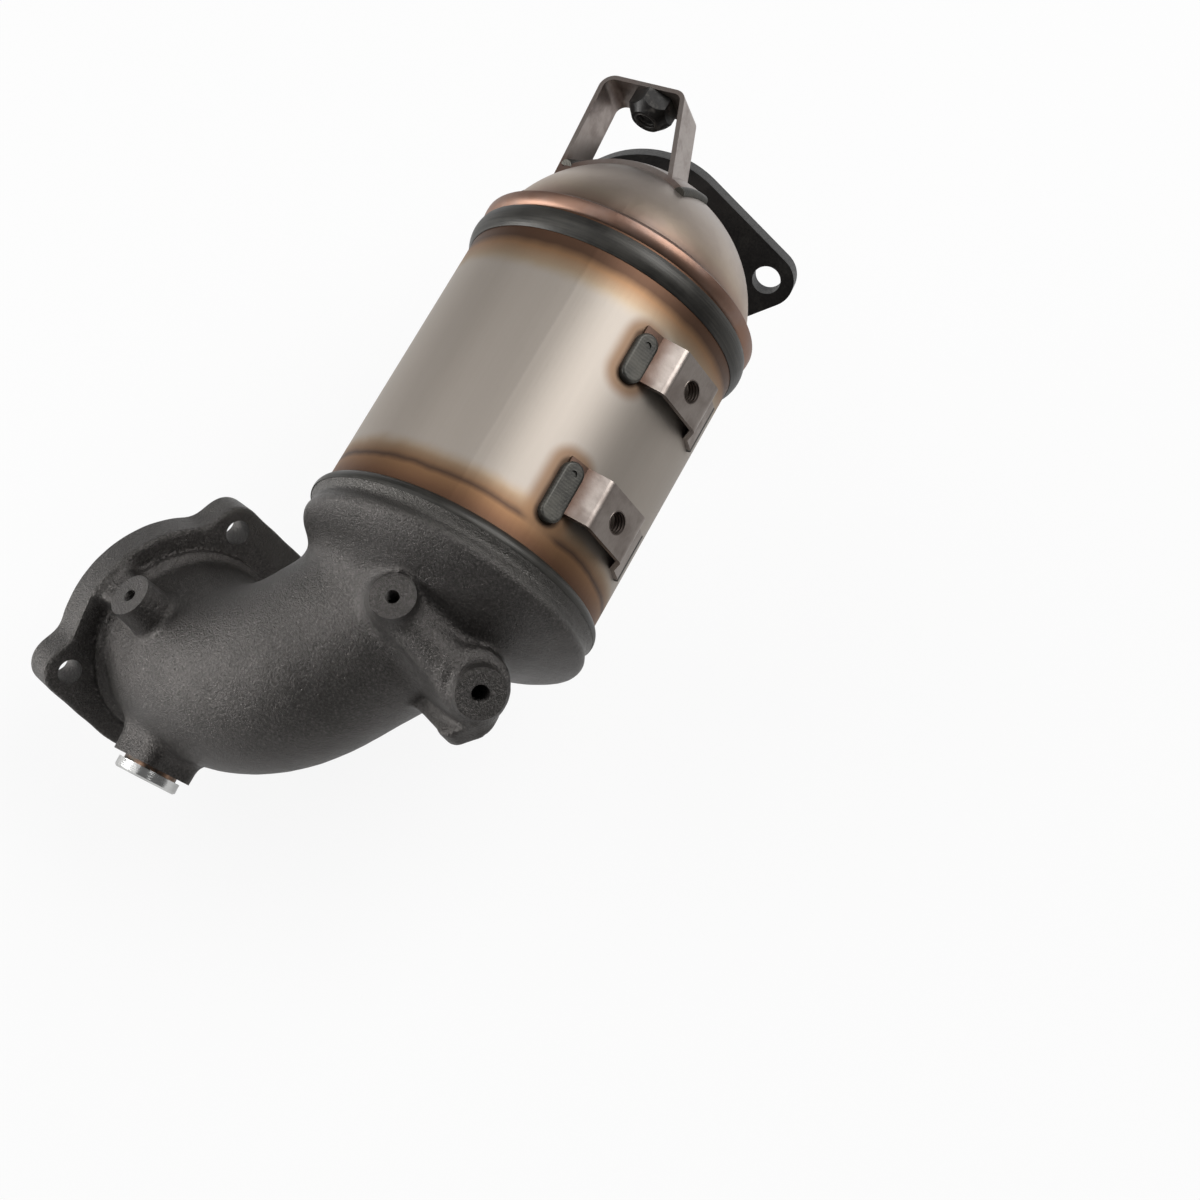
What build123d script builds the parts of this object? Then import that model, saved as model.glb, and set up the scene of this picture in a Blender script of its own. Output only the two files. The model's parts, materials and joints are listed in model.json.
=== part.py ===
"""Close-coupled catalytic converter: cast inlet elbow, can with two bricks, pressed outlet end.

Millimetres. The origin is the centre of the inlet flange's sealing face. +X runs along the can towards
the outlet. Clock angles turn about the can's axis and are measured from +Z towards +Y.
"""
import os
from math import acos, asin, cos, degrees, radians, sin, sqrt

from build123d import *

# Can and the pieces held inside it
can_od = 118.0
can_wall = 1.5
can_clear_length = 118.3  # bare can between the two ring welds
can_inlet_tuck = 6.0  # can pushed into the casting's collar
can_outlet_tuck = 6.0  # can pushed into the outlet end's skirt
fit_gap = 0.05
brick_length = 50.0
brick_gap = 9.0
mat_thickness = 4.6
mat_length = 40.0
seal_ring_length = 4.0

# Ring welds on the can
weld_toe = 0.3
inlet_weld_width = 5.0
inlet_weld_rise = 3.2
outlet_weld_width = 9.0
weld_bulge = 1.2

# Inlet casting
inlet_clock = 126.24  # plane of the elbow, as a clock angle
inlet_turn = 106.43  # from the can's axis to the flange's axis
pipe_od = 76.0
pipe_wall = 5.0
bend_radius = 62.0
bend_turn = 60.0
flange_arm = 23.2  # straight pipe behind the flange
pipe_drop = 55.1  # straight pipe from the bend to the can's axis
pipe_overrun = 12.0  # pipe carried past the can's axis, inside the bell
bell_entry = 13.9  # where the pipe's axis meets the can's axis, behind the joint
bell_depth = 36.0
bell_wall = 5.5
bell_shoulder = 3.0  # step that the can's end stands against
collar_height = 3.8  # collar stands this far outside the can
bell_blend = 8.0

# Inlet flange
inlet_flange_thickness = 14.0
inlet_pcd = 102.0
inlet_hole_dia = 10.5
inlet_hole_turn = 19.4  # first hole, measured from the elbow's plane
inlet_lobe_radius = 10.7
inlet_plate_inset = 0.7  # plate's edge inside the bolt circle
inlet_lobe_blend = 9.0
inlet_ear_offset = 2.25  # centre of the fuller corner, outside the bolt circle
inlet_ear_turn = 44.8  # from the first hole
root_ring_radius = 40.7
root_ring_height = 2.5

# Bosses on the casting
side_boss_radius = 8.2
side_boss_height = 52.0  # above the elbow's plane
side_boss_setback = 24.0  # behind the flange
side_boss_length = 22.0
side_pad_height = 47.0
side_pad_radius = 11.0
side_pad_depth = 16.0
side_thread_dia = 5.0
side_thread_depth = 12.0
rib_boss_radius = 8.6
rib_boss_station = -37.8
rib_boss_clock = 5.0
rib_boss_height = 43.1
rib_boss_length = 20.0
rib_drop = 8.0  # rib's top below the boss faces
rib_depth = 22.0
rib_thread_dia = 5.0
rib_thread_depth = 12.0
stay_boss_radius = 9.6
stay_boss_station = -52.2
stay_boss_clock = -54.0
stay_boss_height = 50.0
stay_boss_aim = -32.0  # clock angle that the boss faces
stay_boss_lean = 17.0
stay_boss_length = 31.0
stay_pad_radius = 13.0
stay_pad_drop = 9.0  # pad's top below the boss face
stay_thread_dia = 6.8
stay_thread_depth = 18.0
sensor_boss_radius = 14.5
sensor_boss_reach = 47.0  # from the pipe's axis to the boss face
sensor_boss_length = 20.0
sensor_setback = 28.0
sensor_swing = 9.4
sensor_lean = 9.4
sensor_bore_dia = 16.2
lug_thickness = 11.0
lug_centre = (-62.0, -43.5)
lug_radius = 7.3
lug_root_centre = (-47.0, -17.0)
lug_root_radius = 15.0
lug_shift = -17.5  # beside the elbow's plane, clear of the stay boss

# Sensor plug
plug_head_dia = 27.0
plug_head_height = 4.6
plug_chamfer = 0.8
plug_thread_length = 10.0
plug_hex_across = 12.0
plug_hex_depth = 3.0
washer_thickness = 1.6
washer_dia = 23.0

# Outlet end
dome_radius = 57.0
dome_setback = 2.3  # dome's centre before the skirt's edge
sheet_wall = 1.9
outlet_clock = 168.5
outlet_tilt = 44.8
outlet_reach = 58.7  # dome centre to the flange's back, along the outlet
outlet_offset = 6.7  # outlet axis beside the dome's centre
outlet_pipe_od = 60.0
neck_blend = 3.0
shoulder_lead = 1.0  # skirt carried past the can's end
shoulder_run = 3.7
shoulder_bend = 6.0

# Outlet flange
outlet_flange_thickness = 10.0
outlet_hole_spacing = 107.8
outlet_hole_dia = 12.0
outlet_hole_turn = 18.2
outlet_lobe_radius = 11.6
outlet_plate_radius = 42.1
outlet_weld_leg = 3.2
outlet_pipe_recess = 2.5

# Hanger strap
strap_clock = 19.0
strap_width = 18.0
strap_gauge = 2.0
strap_front = 34.0  # outer edge, from the can's axis
strap_reach = 85.5  # bridge's outer face, from the dome's centre
strap_left_foot = 31.5
strap_left_corner = 36.3
strap_right_corner = -2.5
strap_right_foot = -24.0
strap_foot_depth = 28.0
strap_bend = 6.0
strap_weld_radius = 2.4
strap_weld_shift = 0.5
hanger_nut_offset = 13.0  # nut's axis, across the strap
hanger_nut_flats = 17.0
hanger_nut_height = 10.5
hanger_nut_flank = 6.0  # straight part of the flats
hanger_nut_end_dia = 12.6
hanger_thread_dia = 8.5
hanger_hole_dia = 10.5

# Brackets on the can
bracket_clock = -56.2
bracket_stations = {"lower": 29.1, "upper": 90.6}
bracket_length = 20.6
bracket_gauge = 2.0
bracket_stand = 7.0  # plateau's outer face above the can
bracket_half_width = 11.3
bracket_foot_turn = 18.0
bracket_foot_span = 8.0
bracket_bend = 1.5
bracket_thread_dia = 8.5
bracket_collar_dia = 12.5
bracket_collar_depth = 3.4
bracket_weld_clock = -33.5
bracket_weld_spans = {"lower": (12.0, 38.4), "upper": (77.0, 98.6)}
bracket_weld_width = 9.5
bracket_weld_height = 3.0
bracket_weld_edge = 1.2
bracket_crater_setback = 5.0  # from the weld's end
bracket_crater_dia = 2.8
bracket_crater_depth = 0.8
bracket_bead_radius = 2.2

# Worked out from the sizes above
can_radius = can_od / 2
pipe_radius = pipe_od / 2
bore_radius = pipe_radius - pipe_wall
hole_circle = inlet_pcd / 2
inlet_plate_radius = hole_circle - inlet_plate_inset
collar_radius = can_radius + collar_height
outlet_pipe_radius = outlet_pipe_od / 2
can_bore_radius = can_radius - can_wall
brick_radius = can_bore_radius - fit_gap - mat_thickness
skirt_inner_radius = can_radius + fit_gap
hollow_depth = bell_depth - bell_wall - can_inlet_tuck
can_inlet_end = -inlet_weld_width - can_inlet_tuck
skirt_edge = can_clear_length + outlet_weld_width
can_outlet_end = skirt_edge + can_outlet_tuck
dome_station = skirt_edge - dome_setback

os.makedirs("parts", exist_ok=True)


def clock(angle):
    """Unit vector square to the can's axis at a clock angle."""
    return Vector(0, sin(radians(angle)), cos(radians(angle)))


# Skeleton of the elbow, in its own plane: u along the can, v away from it
along = Vector(1, 0, 0)
elbow_plane = Plane(origin=(0, 0, 0), x_dir=along, z_dir=along.cross(clock(inlet_clock)))
flange_angle = 180 - inlet_turn
flange_out = elbow_plane.x_dir * cos(radians(flange_angle)) + elbow_plane.y_dir * sin(radians(flange_angle))
flange_side = flange_out.cross(elbow_plane.z_dir) * -1
entry_angle = flange_angle - 180 + bend_turn

with BuildLine(elbow_plane) as pipe_path:
    arm = PolarLine((0, 0), inlet_flange_thickness + flange_arm, flange_angle - 180)
    bend = JernArc(arm @ 1, arm % 1, bend_radius, bend_turn)
    drop = PolarLine(bend @ 1, pipe_drop + pipe_overrun, entry_angle)

can_start = drop @ 0 + (drop % 0) * pipe_drop + along * bell_entry


def outward_plane(station, angle, height):
    """Plane that faces outwards at a clock angle, with x along the can."""
    return Plane(can_start + along * station + clock(angle) * height, x_dir=along, z_dir=clock(angle))


can_section = Plane(origin=can_start, x_dir=along, z_dir=(0, -1, 0))
can_axis = Axis(can_start, along)
flange_back = flange_out * -inlet_flange_thickness

# Inlet flange outline, with its first hole on the sketch's x axis
first_hole = flange_side * -cos(radians(inlet_hole_turn)) + elbow_plane.z_dir * sin(radians(inlet_hole_turn))
flange_plane = Plane(origin=(0, 0, 0), x_dir=first_hole, z_dir=flange_out)
lobe_spots = [Vector(hole_circle, 0).rotate(Axis.Z, turn) for turn in (0, -120, 120)]
inlet_ear = Vector(hole_circle + inlet_ear_offset, 0).rotate(Axis.Z, inlet_ear_turn)
neck_x = (hole_circle**2 + inlet_plate_radius**2 - inlet_lobe_radius**2) / (2 * hole_circle)
neck = Vector(neck_x, -sqrt(inlet_plate_radius**2 - neck_x**2))
necks = [neck, Vector(neck.X, -neck.Y).rotate(Axis.Z, -120)]

with BuildSketch() as rounded_side:
    Circle(inlet_plate_radius)
    with Locations(*lobe_spots[1:]):
        Circle(inlet_lobe_radius)
    make_hull()

with BuildSketch() as eared_side:
    with Locations(lobe_spots[0], inlet_ear, lobe_spots[2]):
        Circle(inlet_lobe_radius)
    make_hull()

with BuildSketch() as inlet_outline:
    add(rounded_side.sketch)
    add(eared_side.sketch)
    with Locations(lobe_spots[0]):
        Circle(inlet_lobe_radius)
    for spot in necks:
        fillet(inlet_outline.vertices().sort_by_distance(spot)[0], inlet_lobe_blend)

# Seats of the bosses
side_seat = flange_back - flange_out * side_boss_setback
side_plane = Plane(side_seat + elbow_plane.z_dir * side_boss_height, x_dir=flange_out, z_dir=elbow_plane.z_dir)
rib_boss_plane = outward_plane(rib_boss_station, rib_boss_clock, rib_boss_height)
stay_aim = along * -sin(radians(stay_boss_lean)) + clock(stay_boss_aim) * cos(radians(stay_boss_lean))
stay_seat = can_start + along * stay_boss_station + clock(stay_boss_clock) * stay_boss_height
stay_plane = Plane(stay_seat, x_dir=along.cross(stay_aim), z_dir=stay_aim)
rib_run = stay_seat - rib_boss_plane.origin
rib_up = (rib_boss_plane.z_dir + stay_aim).normalized()
rib_face = rib_run.cross(rib_up).cross(rib_run).normalized()
rib_plane = Plane((stay_seat + rib_boss_plane.origin) * 0.5 - rib_face * rib_drop, x_dir=rib_run, z_dir=rib_face)
sensor_radial = flange_side * cos(radians(sensor_swing)) - elbow_plane.z_dir * sin(radians(sensor_swing))
sensor_out = sensor_radial * cos(radians(sensor_lean)) - flange_out * sin(radians(sensor_lean))
sensor_seat = flange_back - flange_out * sensor_setback + sensor_radial * sensor_boss_reach
sensor_plane = Plane(sensor_seat, x_dir=elbow_plane.z_dir, z_dir=sensor_out)
lug_plane = Plane(can_start + elbow_plane.z_dir * lug_shift, x_dir=along, z_dir=elbow_plane.z_dir)


def disc(plane, radius):
    """Round profile centred on a plane."""
    with BuildSketch(plane) as profile:
        Circle(radius)
    return profile.sketch


def half_ellipse(start, depth, radius):
    """Profile of a bell about the can's axis that closes towards the inlet."""
    with BuildSketch(can_section) as profile:
        with BuildLine():
            curve = EllipticalCenterArc((start, 0), depth, radius, start_angle=90, arc_size=90)
            Polyline(curve @ 1, (start, 0), curve @ 0)
        make_face()
    return profile.sketch


def ring_profile(start, end, inner, outer):
    """Rectangle in the can's section plane between two stations and two radii."""
    with BuildSketch(can_section) as profile:
        with Locations(((start + end) / 2, (inner + outer) / 2)):
            Rectangle(end - start, outer - inner)
    return profile.sketch


def bead_profile(start, start_rise, end, end_rise):
    """Section of a ring weld that lies on the can, with its height at both edges."""
    with BuildSketch(can_section) as profile:
        with BuildLine():
            crown = SagittaArc((start, can_radius + start_rise), (end, can_radius + end_rise), weld_bulge)
            Polyline(crown @ 1, (end, can_radius), (start, can_radius), crown @ 0)
        make_face()
    return profile.sketch


with BuildPart() as inlet_elbow:
    # Pipe and bell
    sweep(disc(Plane(origin=(0, 0, 0), z_dir=flange_out * -1), pipe_radius), path=pipe_path.line)
    revolve(half_ellipse(-inlet_weld_width, bell_depth, collar_radius), axis=can_axis)
    fillet(inlet_elbow.edges().filter_by(GeomType.BSPLINE), bell_blend)

    # Flange and its root ring
    with BuildSketch(flange_plane):
        add(inlet_outline.sketch)
    extrude(amount=-inlet_flange_thickness)
    extrude(disc(flange_plane.offset(-inlet_flange_thickness), root_ring_radius), amount=-root_ring_height)

    # Side boss on a flat pad that runs out from the flange
    with BuildSketch(side_plane.offset(side_pad_height - side_boss_height)):
        Circle(side_pad_radius)
        with Locations((side_boss_setback, 0)):
            Rectangle(side_pad_radius, 2 * side_pad_radius)
        make_hull()
    extrude(amount=-side_pad_depth)
    extrude(disc(side_plane, side_boss_radius), amount=-side_boss_length)

    # Rib boss and stay boss, joined by a rib
    with BuildSketch(rib_plane):
        with Locations((-rib_run.length / 2, 0)):
            Circle(rib_boss_radius)
        with Locations((rib_run.length / 2, 0)):
            Circle(stay_pad_radius)
        make_hull()
    extrude(amount=-rib_depth)
    extrude(disc(rib_boss_plane, rib_boss_radius), amount=-rib_boss_length)
    extrude(disc(stay_plane.offset(-stay_pad_drop), stay_pad_radius), amount=stay_pad_drop - stay_boss_length)
    extrude(disc(stay_plane, stay_boss_radius), amount=-stay_boss_length)

    # Sensor boss
    extrude(disc(sensor_plane, sensor_boss_radius), amount=-sensor_boss_length)

    # Lug under the bell
    with BuildSketch(lug_plane):
        with Locations(lug_centre):
            Circle(lug_radius)
        with Locations(lug_root_centre):
            Circle(lug_root_radius)
        make_hull()
    extrude(amount=lug_thickness / 2, both=True)

    # Gas way, with the seat for the can
    sweep(disc(Plane(origin=(0, 0, 0), z_dir=flange_out * -1), bore_radius), path=pipe_path.line, mode=Mode.SUBTRACT)
    revolve(half_ellipse(can_inlet_end, hollow_depth, can_radius - bell_shoulder), axis=can_axis, mode=Mode.SUBTRACT)
    revolve(ring_profile(can_inlet_end, pipe_radius, 0, skirt_inner_radius), axis=can_axis, mode=Mode.SUBTRACT)

    # Holes
    with Locations(flange_plane):
        with PolarLocations(hole_circle, 3):
            Hole(inlet_hole_dia / 2, inlet_flange_thickness)
    with Locations(side_plane):
        Hole(side_thread_dia / 2, side_thread_depth)
    with Locations(rib_boss_plane):
        Hole(rib_thread_dia / 2, rib_thread_depth)
    with Locations(stay_plane):
        Hole(stay_thread_dia / 2, stay_thread_depth)
    with Locations(sensor_plane):
        Hole(sensor_bore_dia / 2, sensor_boss_length)
inlet_elbow.part.label = "inlet_elbow"
export_step(inlet_elbow.part, "parts/inlet_elbow.step")

with BuildPart() as sensor_plug_washer:
    with BuildSketch(sensor_plane):
        Circle(washer_dia / 2)
        Circle(sensor_bore_dia / 2, mode=Mode.SUBTRACT)
    extrude(amount=washer_thickness)
sensor_plug_washer.part.label = "sensor_plug_washer"
export_step(sensor_plug_washer.part, "parts/sensor_plug_washer.step")

with BuildPart() as sensor_plug:
    head_plane = sensor_plane.offset(washer_thickness)
    extrude(disc(head_plane, plug_head_dia / 2), amount=plug_head_height)
    chamfer(sensor_plug.edges().sort_by(Axis(sensor_seat, sensor_out))[-1], plug_chamfer)
    extrude(disc(head_plane, sensor_bore_dia / 2 - fit_gap), amount=-plug_thread_length)
    with BuildSketch(head_plane.offset(plug_head_height)):
        RegularPolygon(plug_hex_across / 2, 6, major_radius=False)
    extrude(amount=-plug_hex_depth, mode=Mode.SUBTRACT)
sensor_plug.part.label = "sensor_plug"
export_step(sensor_plug.part, "parts/sensor_plug.step")

with BuildPart() as inlet_weld:
    revolve(bead_profile(-inlet_weld_width, inlet_weld_rise, 0, weld_toe), axis=can_axis)
inlet_weld.part.label = "inlet_weld"
export_step(inlet_weld.part, "parts/inlet_weld.step")

with BuildPart() as can_shell:
    revolve(ring_profile(can_inlet_end, can_outlet_end, can_bore_radius, can_radius), axis=can_axis)
can_shell.part.label = "can_shell"
export_step(can_shell.part, "parts/can_shell.step")

with BuildPart() as outlet_weld:
    revolve(bead_profile(can_clear_length, weld_toe, skirt_edge, sheet_wall), axis=can_axis)
outlet_weld.part.label = "outlet_weld"
export_step(outlet_weld.part, "parts/outlet_weld.step")

# Bricks, each with its mat, and a seal ring at the outer end of each mat
brick_start = (can_clear_length - brick_gap) / 2 - brick_length
brick_spots = {"front": brick_start, "rear": brick_start + brick_length + brick_gap}
mat_recess = (brick_length - mat_length) / 2
for end, station in brick_spots.items():
    with BuildPart() as brick:
        revolve(ring_profile(station, station + brick_length, 0, brick_radius), axis=can_axis)
    brick.part.label = f"{end}_brick"
    export_step(brick.part, f"parts/{end}_brick.step")

    mat_start = station + mat_recess
    mat_end = mat_start + mat_length
    with BuildPart() as mat:
        revolve(ring_profile(mat_start, mat_end, brick_radius, brick_radius + mat_thickness), axis=can_axis)
    mat.part.label = f"{end}_mat"
    export_step(mat.part, f"parts/{end}_mat.step")

    ring_start = mat_start - seal_ring_length if end == "front" else mat_end
    ring_end = ring_start + seal_ring_length
    with BuildPart() as seal_ring:
        revolve(ring_profile(ring_start, ring_end, brick_radius, brick_radius + mat_thickness), axis=can_axis)
    seal_ring.part.label = f"{end}_seal_ring"
    export_step(seal_ring.part, f"parts/{end}_seal_ring.step")

# Outlet end: skirt, shoulder, dome and neck in one pressing
dome_centre = can_start + along * dome_station
outlet_out = along * cos(radians(outlet_tilt)) + clock(outlet_clock) * sin(radians(outlet_tilt))
outlet_wide = along.cross(clock(outlet_clock))
outlet_rise = outlet_wide.cross(outlet_out)
outlet_seat = dome_centre + outlet_out * outlet_reach - outlet_rise * outlet_offset
bolt_row = outlet_wide * cos(radians(outlet_hole_turn)) + outlet_rise * sin(radians(outlet_hole_turn))
outlet_plane = Plane(outlet_seat, x_dir=bolt_row, z_dir=outlet_out)
outlet_axis = Axis(outlet_seat, outlet_out)
neck_end = outlet_flange_thickness - outlet_pipe_recess
shoulder_start = can_outlet_end + shoulder_lead
shoulder_end = shoulder_start + shoulder_run
shoulder_turn = degrees(acos((shoulder_end - dome_station) / dome_radius))

inner_dome_radius = dome_radius - sheet_wall
seat_turn = degrees(acos((can_outlet_end - dome_station) / inner_dome_radius))
hollow_start = dome_station - outlet_pipe_radius

with BuildPart() as outlet_cone:
    with BuildSketch(can_section):
        with BuildLine():
            dome = CenterArc((dome_station, 0), dome_radius, 0, shoulder_turn)
            Polyline(
                dome @ 1,
                (shoulder_start, skirt_inner_radius + sheet_wall),
                (skirt_edge, skirt_inner_radius + sheet_wall),
                (skirt_edge, 0),
                dome @ 0,
            )
        shell = make_face()
        fillet(shell.vertices().sort_by(Axis.Y)[-1], shoulder_bend)
    revolve(axis=can_axis)
    extrude(disc(outlet_plane.offset(neck_end), outlet_pipe_radius), amount=-outlet_reach / 2)
    fillet(outlet_cone.edges().filter_by(GeomType.BSPLINE), neck_blend)
    with BuildSketch(can_section):
        with BuildLine():
            hollow = CenterArc((dome_station, 0), inner_dome_radius, 0, seat_turn)
            Polyline(
                hollow @ 1,
                (can_outlet_end, skirt_inner_radius),
                (hollow_start, skirt_inner_radius),
                (hollow_start, 0),
                hollow @ 0,
            )
        make_face()
    revolve(axis=can_axis, mode=Mode.SUBTRACT)
    extrude(
        disc(outlet_plane.offset(neck_end), outlet_pipe_radius - sheet_wall),
        amount=-outlet_reach / 2,
        mode=Mode.SUBTRACT,
    )
outlet_cone.part.label = "outlet_cone"
export_step(outlet_cone.part, "parts/outlet_cone.step")

with BuildPart() as outlet_flange:
    with BuildSketch(outlet_plane):
        Circle(outlet_plate_radius)
        with Locations((-outlet_hole_spacing / 2, 0), (outlet_hole_spacing / 2, 0)):
            Circle(outlet_lobe_radius)
        make_hull()
    extrude(amount=outlet_flange_thickness)
    extrude(disc(outlet_plane, outlet_pipe_radius + fit_gap), amount=outlet_flange_thickness, mode=Mode.SUBTRACT)
    with Locations(outlet_plane.offset(outlet_flange_thickness)):
        with Locations((-outlet_hole_spacing / 2, 0), (outlet_hole_spacing / 2, 0)):
            Hole(outlet_hole_dia / 2, outlet_flange_thickness)
outlet_flange.part.label = "outlet_flange"
export_step(outlet_flange.part, "parts/outlet_flange.step")

with BuildPart() as outlet_flange_weld:
    with BuildSketch(Plane(outlet_seat, x_dir=outlet_out, z_dir=outlet_out.cross(bolt_row))):
        with BuildLine():
            Polyline(
                (0, outlet_pipe_radius),
                (-outlet_weld_leg, outlet_pipe_radius),
                (0, outlet_pipe_radius + outlet_weld_leg),
                close=True,
            )
        make_face()
    revolve(axis=outlet_axis)
outlet_flange_weld.part.label = "outlet_flange_weld"
export_step(outlet_flange_weld.part, "parts/outlet_flange_weld.step")

# Hanger strap: bent strip whose saddle lies on the dome
strap_out = clock(strap_clock)
strap_across = clock(strap_clock + 90)
strap_plane = Plane(dome_centre + strap_out * (strap_front - strap_width), x_dir=along, z_dir=strap_out)
nut_seat = dome_centre + along * strap_reach + strap_out * (strap_front - strap_width / 2)
nut_plane = Plane(nut_seat + strap_across * hanger_nut_offset, x_dir=strap_out, z_dir=along)

with BuildPart() as hanger_saddle:
    with BuildSketch(strap_plane):
        with Locations((strap_reach / 2, (strap_left_foot + strap_right_foot) / 2)):
            Rectangle(strap_reach, strap_left_foot - strap_right_foot)
    extrude(amount=strap_width)
    with Locations(dome_centre):
        Sphere(dome_radius + strap_gauge, mode=Mode.INTERSECT)

with BuildPart() as hanger_strap:
    with BuildSketch(strap_plane):
        with BuildLine():
            FilletPolyline(
                (strap_foot_depth, strap_left_foot),
                (strap_reach, strap_left_corner),
                (strap_reach, strap_right_corner),
                (strap_foot_depth, strap_right_foot),
                radius=strap_bend,
            )
            offset(amount=strap_gauge, side=Side.RIGHT)
        make_face()
    extrude(amount=strap_width)
    add(hanger_saddle.part)
    with Locations(dome_centre):
        Sphere(dome_radius, mode=Mode.SUBTRACT)
    with Locations(nut_plane):
        Hole(hanger_hole_dia / 2, strap_gauge)
hanger_strap.part.label = "hanger_strap"
export_step(hanger_strap.part, "parts/hanger_strap.step")

nut_top = nut_plane.offset(-strap_gauge)
nut_corner = hanger_nut_flats / sqrt(3)
with BuildPart() as hanger_nut:
    with BuildSketch(nut_top):
        RegularPolygon(hanger_nut_flats / 2, 6, major_radius=False)
    extrude(amount=-hanger_nut_height)
    with BuildSketch(Plane(nut_top.origin, x_dir=nut_top.x_dir, z_dir=nut_top.y_dir)):
        with BuildLine():
            Polyline(
                (0, 0),
                (nut_corner, 0),
                (nut_corner, hanger_nut_flank),
                (hanger_nut_end_dia / 2, hanger_nut_height),
                (0, hanger_nut_height),
                close=True,
            )
        make_face()
    revolve(axis=Axis(nut_top.origin, nut_top.z_dir), mode=Mode.INTERSECT)
    with Locations(nut_top):
        Hole(hanger_thread_dia / 2, hanger_nut_height)
hanger_nut.part.label = "hanger_nut"
export_step(hanger_nut.part, "parts/hanger_nut.step")

# Strap welds: one inside the left leg, on the saddle, and one outside the right leg, on the dome
strap_beads = {
    "left": (strap_left_foot - strap_gauge - strap_weld_shift, dome_radius + strap_gauge),
    "right": (strap_right_foot, dome_radius),
}
for side, (foot, ground) in strap_beads.items():
    reach = sqrt(ground**2 - foot**2)
    start_turn = degrees(asin((strap_front - strap_width) / reach))
    end_turn = degrees(asin(strap_front / reach))
    foot_centre = dome_centre + strap_across * foot
    foot_aim = along * cos(radians(start_turn)) + strap_out * sin(radians(start_turn))
    with BuildPart() as hanger_weld:
        with BuildSketch(Plane(foot_centre + foot_aim * reach, x_dir=foot_aim, z_dir=strap_across.cross(foot_aim))):
            Circle(strap_weld_radius)
        revolve(axis=Axis(foot_centre, strap_across * -1), revolution_arc=end_turn - start_turn)
        with Locations(dome_centre):
            Sphere(dome_radius, mode=Mode.SUBTRACT)
        add(hanger_strap.part, mode=Mode.SUBTRACT)
    hanger_weld.part.label = f"hanger_weld_{side}"
    export_step(hanger_weld.part, f"parts/hanger_weld_{side}.step")

# Brackets: hat-shaped strips whose feet are rolled to the can, with their welds
plateau_height = can_radius + bracket_stand - bracket_gauge
root_turn = radians(bracket_foot_turn)
foot_root = Vector(can_radius * cos(root_turn), can_radius * sin(root_turn))
for place, station in bracket_stations.items():
    section = Plane(
        can_start + along * (station - bracket_length / 2),
        x_dir=clock(bracket_clock),
        z_dir=along,
    )
    top = outward_plane(station, bracket_clock, can_radius + bracket_stand)
    with BuildPart() as bracket:
        with BuildSketch(section):
            with BuildLine():
                CenterArc((0, 0), can_radius, -bracket_foot_turn - bracket_foot_span, bracket_foot_span)
                FilletPolyline(
                    (foot_root.X, -foot_root.Y),
                    (plateau_height, -bracket_half_width),
                    (plateau_height, bracket_half_width),
                    (foot_root.X, foot_root.Y),
                    radius=bracket_bend,
                )
                CenterArc((0, 0), can_radius, bracket_foot_turn, bracket_foot_span)
                offset(amount=bracket_gauge, side=Side.RIGHT)
            make_face()
        extrude(amount=bracket_length)
        extrude(disc(top.offset(-bracket_gauge), bracket_collar_dia / 2), amount=-bracket_collar_depth)
        with Locations(top):
            Hole(bracket_thread_dia / 2, bracket_gauge + bracket_collar_depth)
    bracket.part.label = f"{place}_bracket"
    export_step(bracket.part, f"parts/{place}_bracket.step")

    weld_start, weld_end = bracket_weld_spans[place]
    weld_middle = (weld_start + weld_end) / 2
    pad = outward_plane(weld_middle, bracket_weld_clock, can_radius + bracket_weld_height)
    with BuildPart() as near_weld:
        with BuildSketch(pad):
            SlotOverall(weld_end - weld_start, bracket_weld_width)
        extrude(amount=-2 * bracket_weld_height)
        fillet(near_weld.faces().sort_by(Axis(pad.origin, pad.z_dir))[-1].edges(), bracket_weld_edge)
        with Locations(pad):
            with Locations((weld_end - weld_middle - bracket_crater_setback, 0)):
                Hole(bracket_crater_dia / 2, bracket_crater_depth)
        revolve(ring_profile(weld_start, weld_end, 0, can_radius), axis=can_axis, mode=Mode.SUBTRACT)
        add(bracket.part, mode=Mode.SUBTRACT)
    near_weld.part.label = f"{place}_bracket_weld"
    export_step(near_weld.part, f"parts/{place}_bracket_weld.step")

    foot_end = bracket_clock - bracket_foot_turn - bracket_foot_span
    bead = Plane(
        can_start + along * (station - bracket_length / 2) + clock(foot_end) * can_radius,
        x_dir=clock(foot_end),
        z_dir=along,
    )
    with BuildPart() as far_weld:
        extrude(disc(bead, bracket_bead_radius), amount=bracket_length)
        revolve(
            ring_profile(station - bracket_length, station + bracket_length, 0, can_radius),
            axis=can_axis,
            mode=Mode.SUBTRACT,
        )
        add(bracket.part, mode=Mode.SUBTRACT)
    far_weld.part.label = f"{place}_far_weld"
    export_step(far_weld.part, f"parts/{place}_far_weld.step")
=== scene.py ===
"""Looks of the catalytic converter: its cast, rolled, pressed and welded surfaces and their finishes.

Lengths are millimetres in the part's own frame; they become metres where a mesh is made. The elbow's own
plane has two axes: along the can, and away from it at the elbow's clock angle; its normal is the side axis.
Clock angles turn about the can's axis and are measured from +Z towards +Y.
"""
import json
import logging
import math
from dataclasses import dataclass
from enum import Enum
from typing import Callable, Dict, List, Optional, Sequence, Tuple, Union

import bpy
import numpy as np
from mathutils import Matrix, Vector


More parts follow.
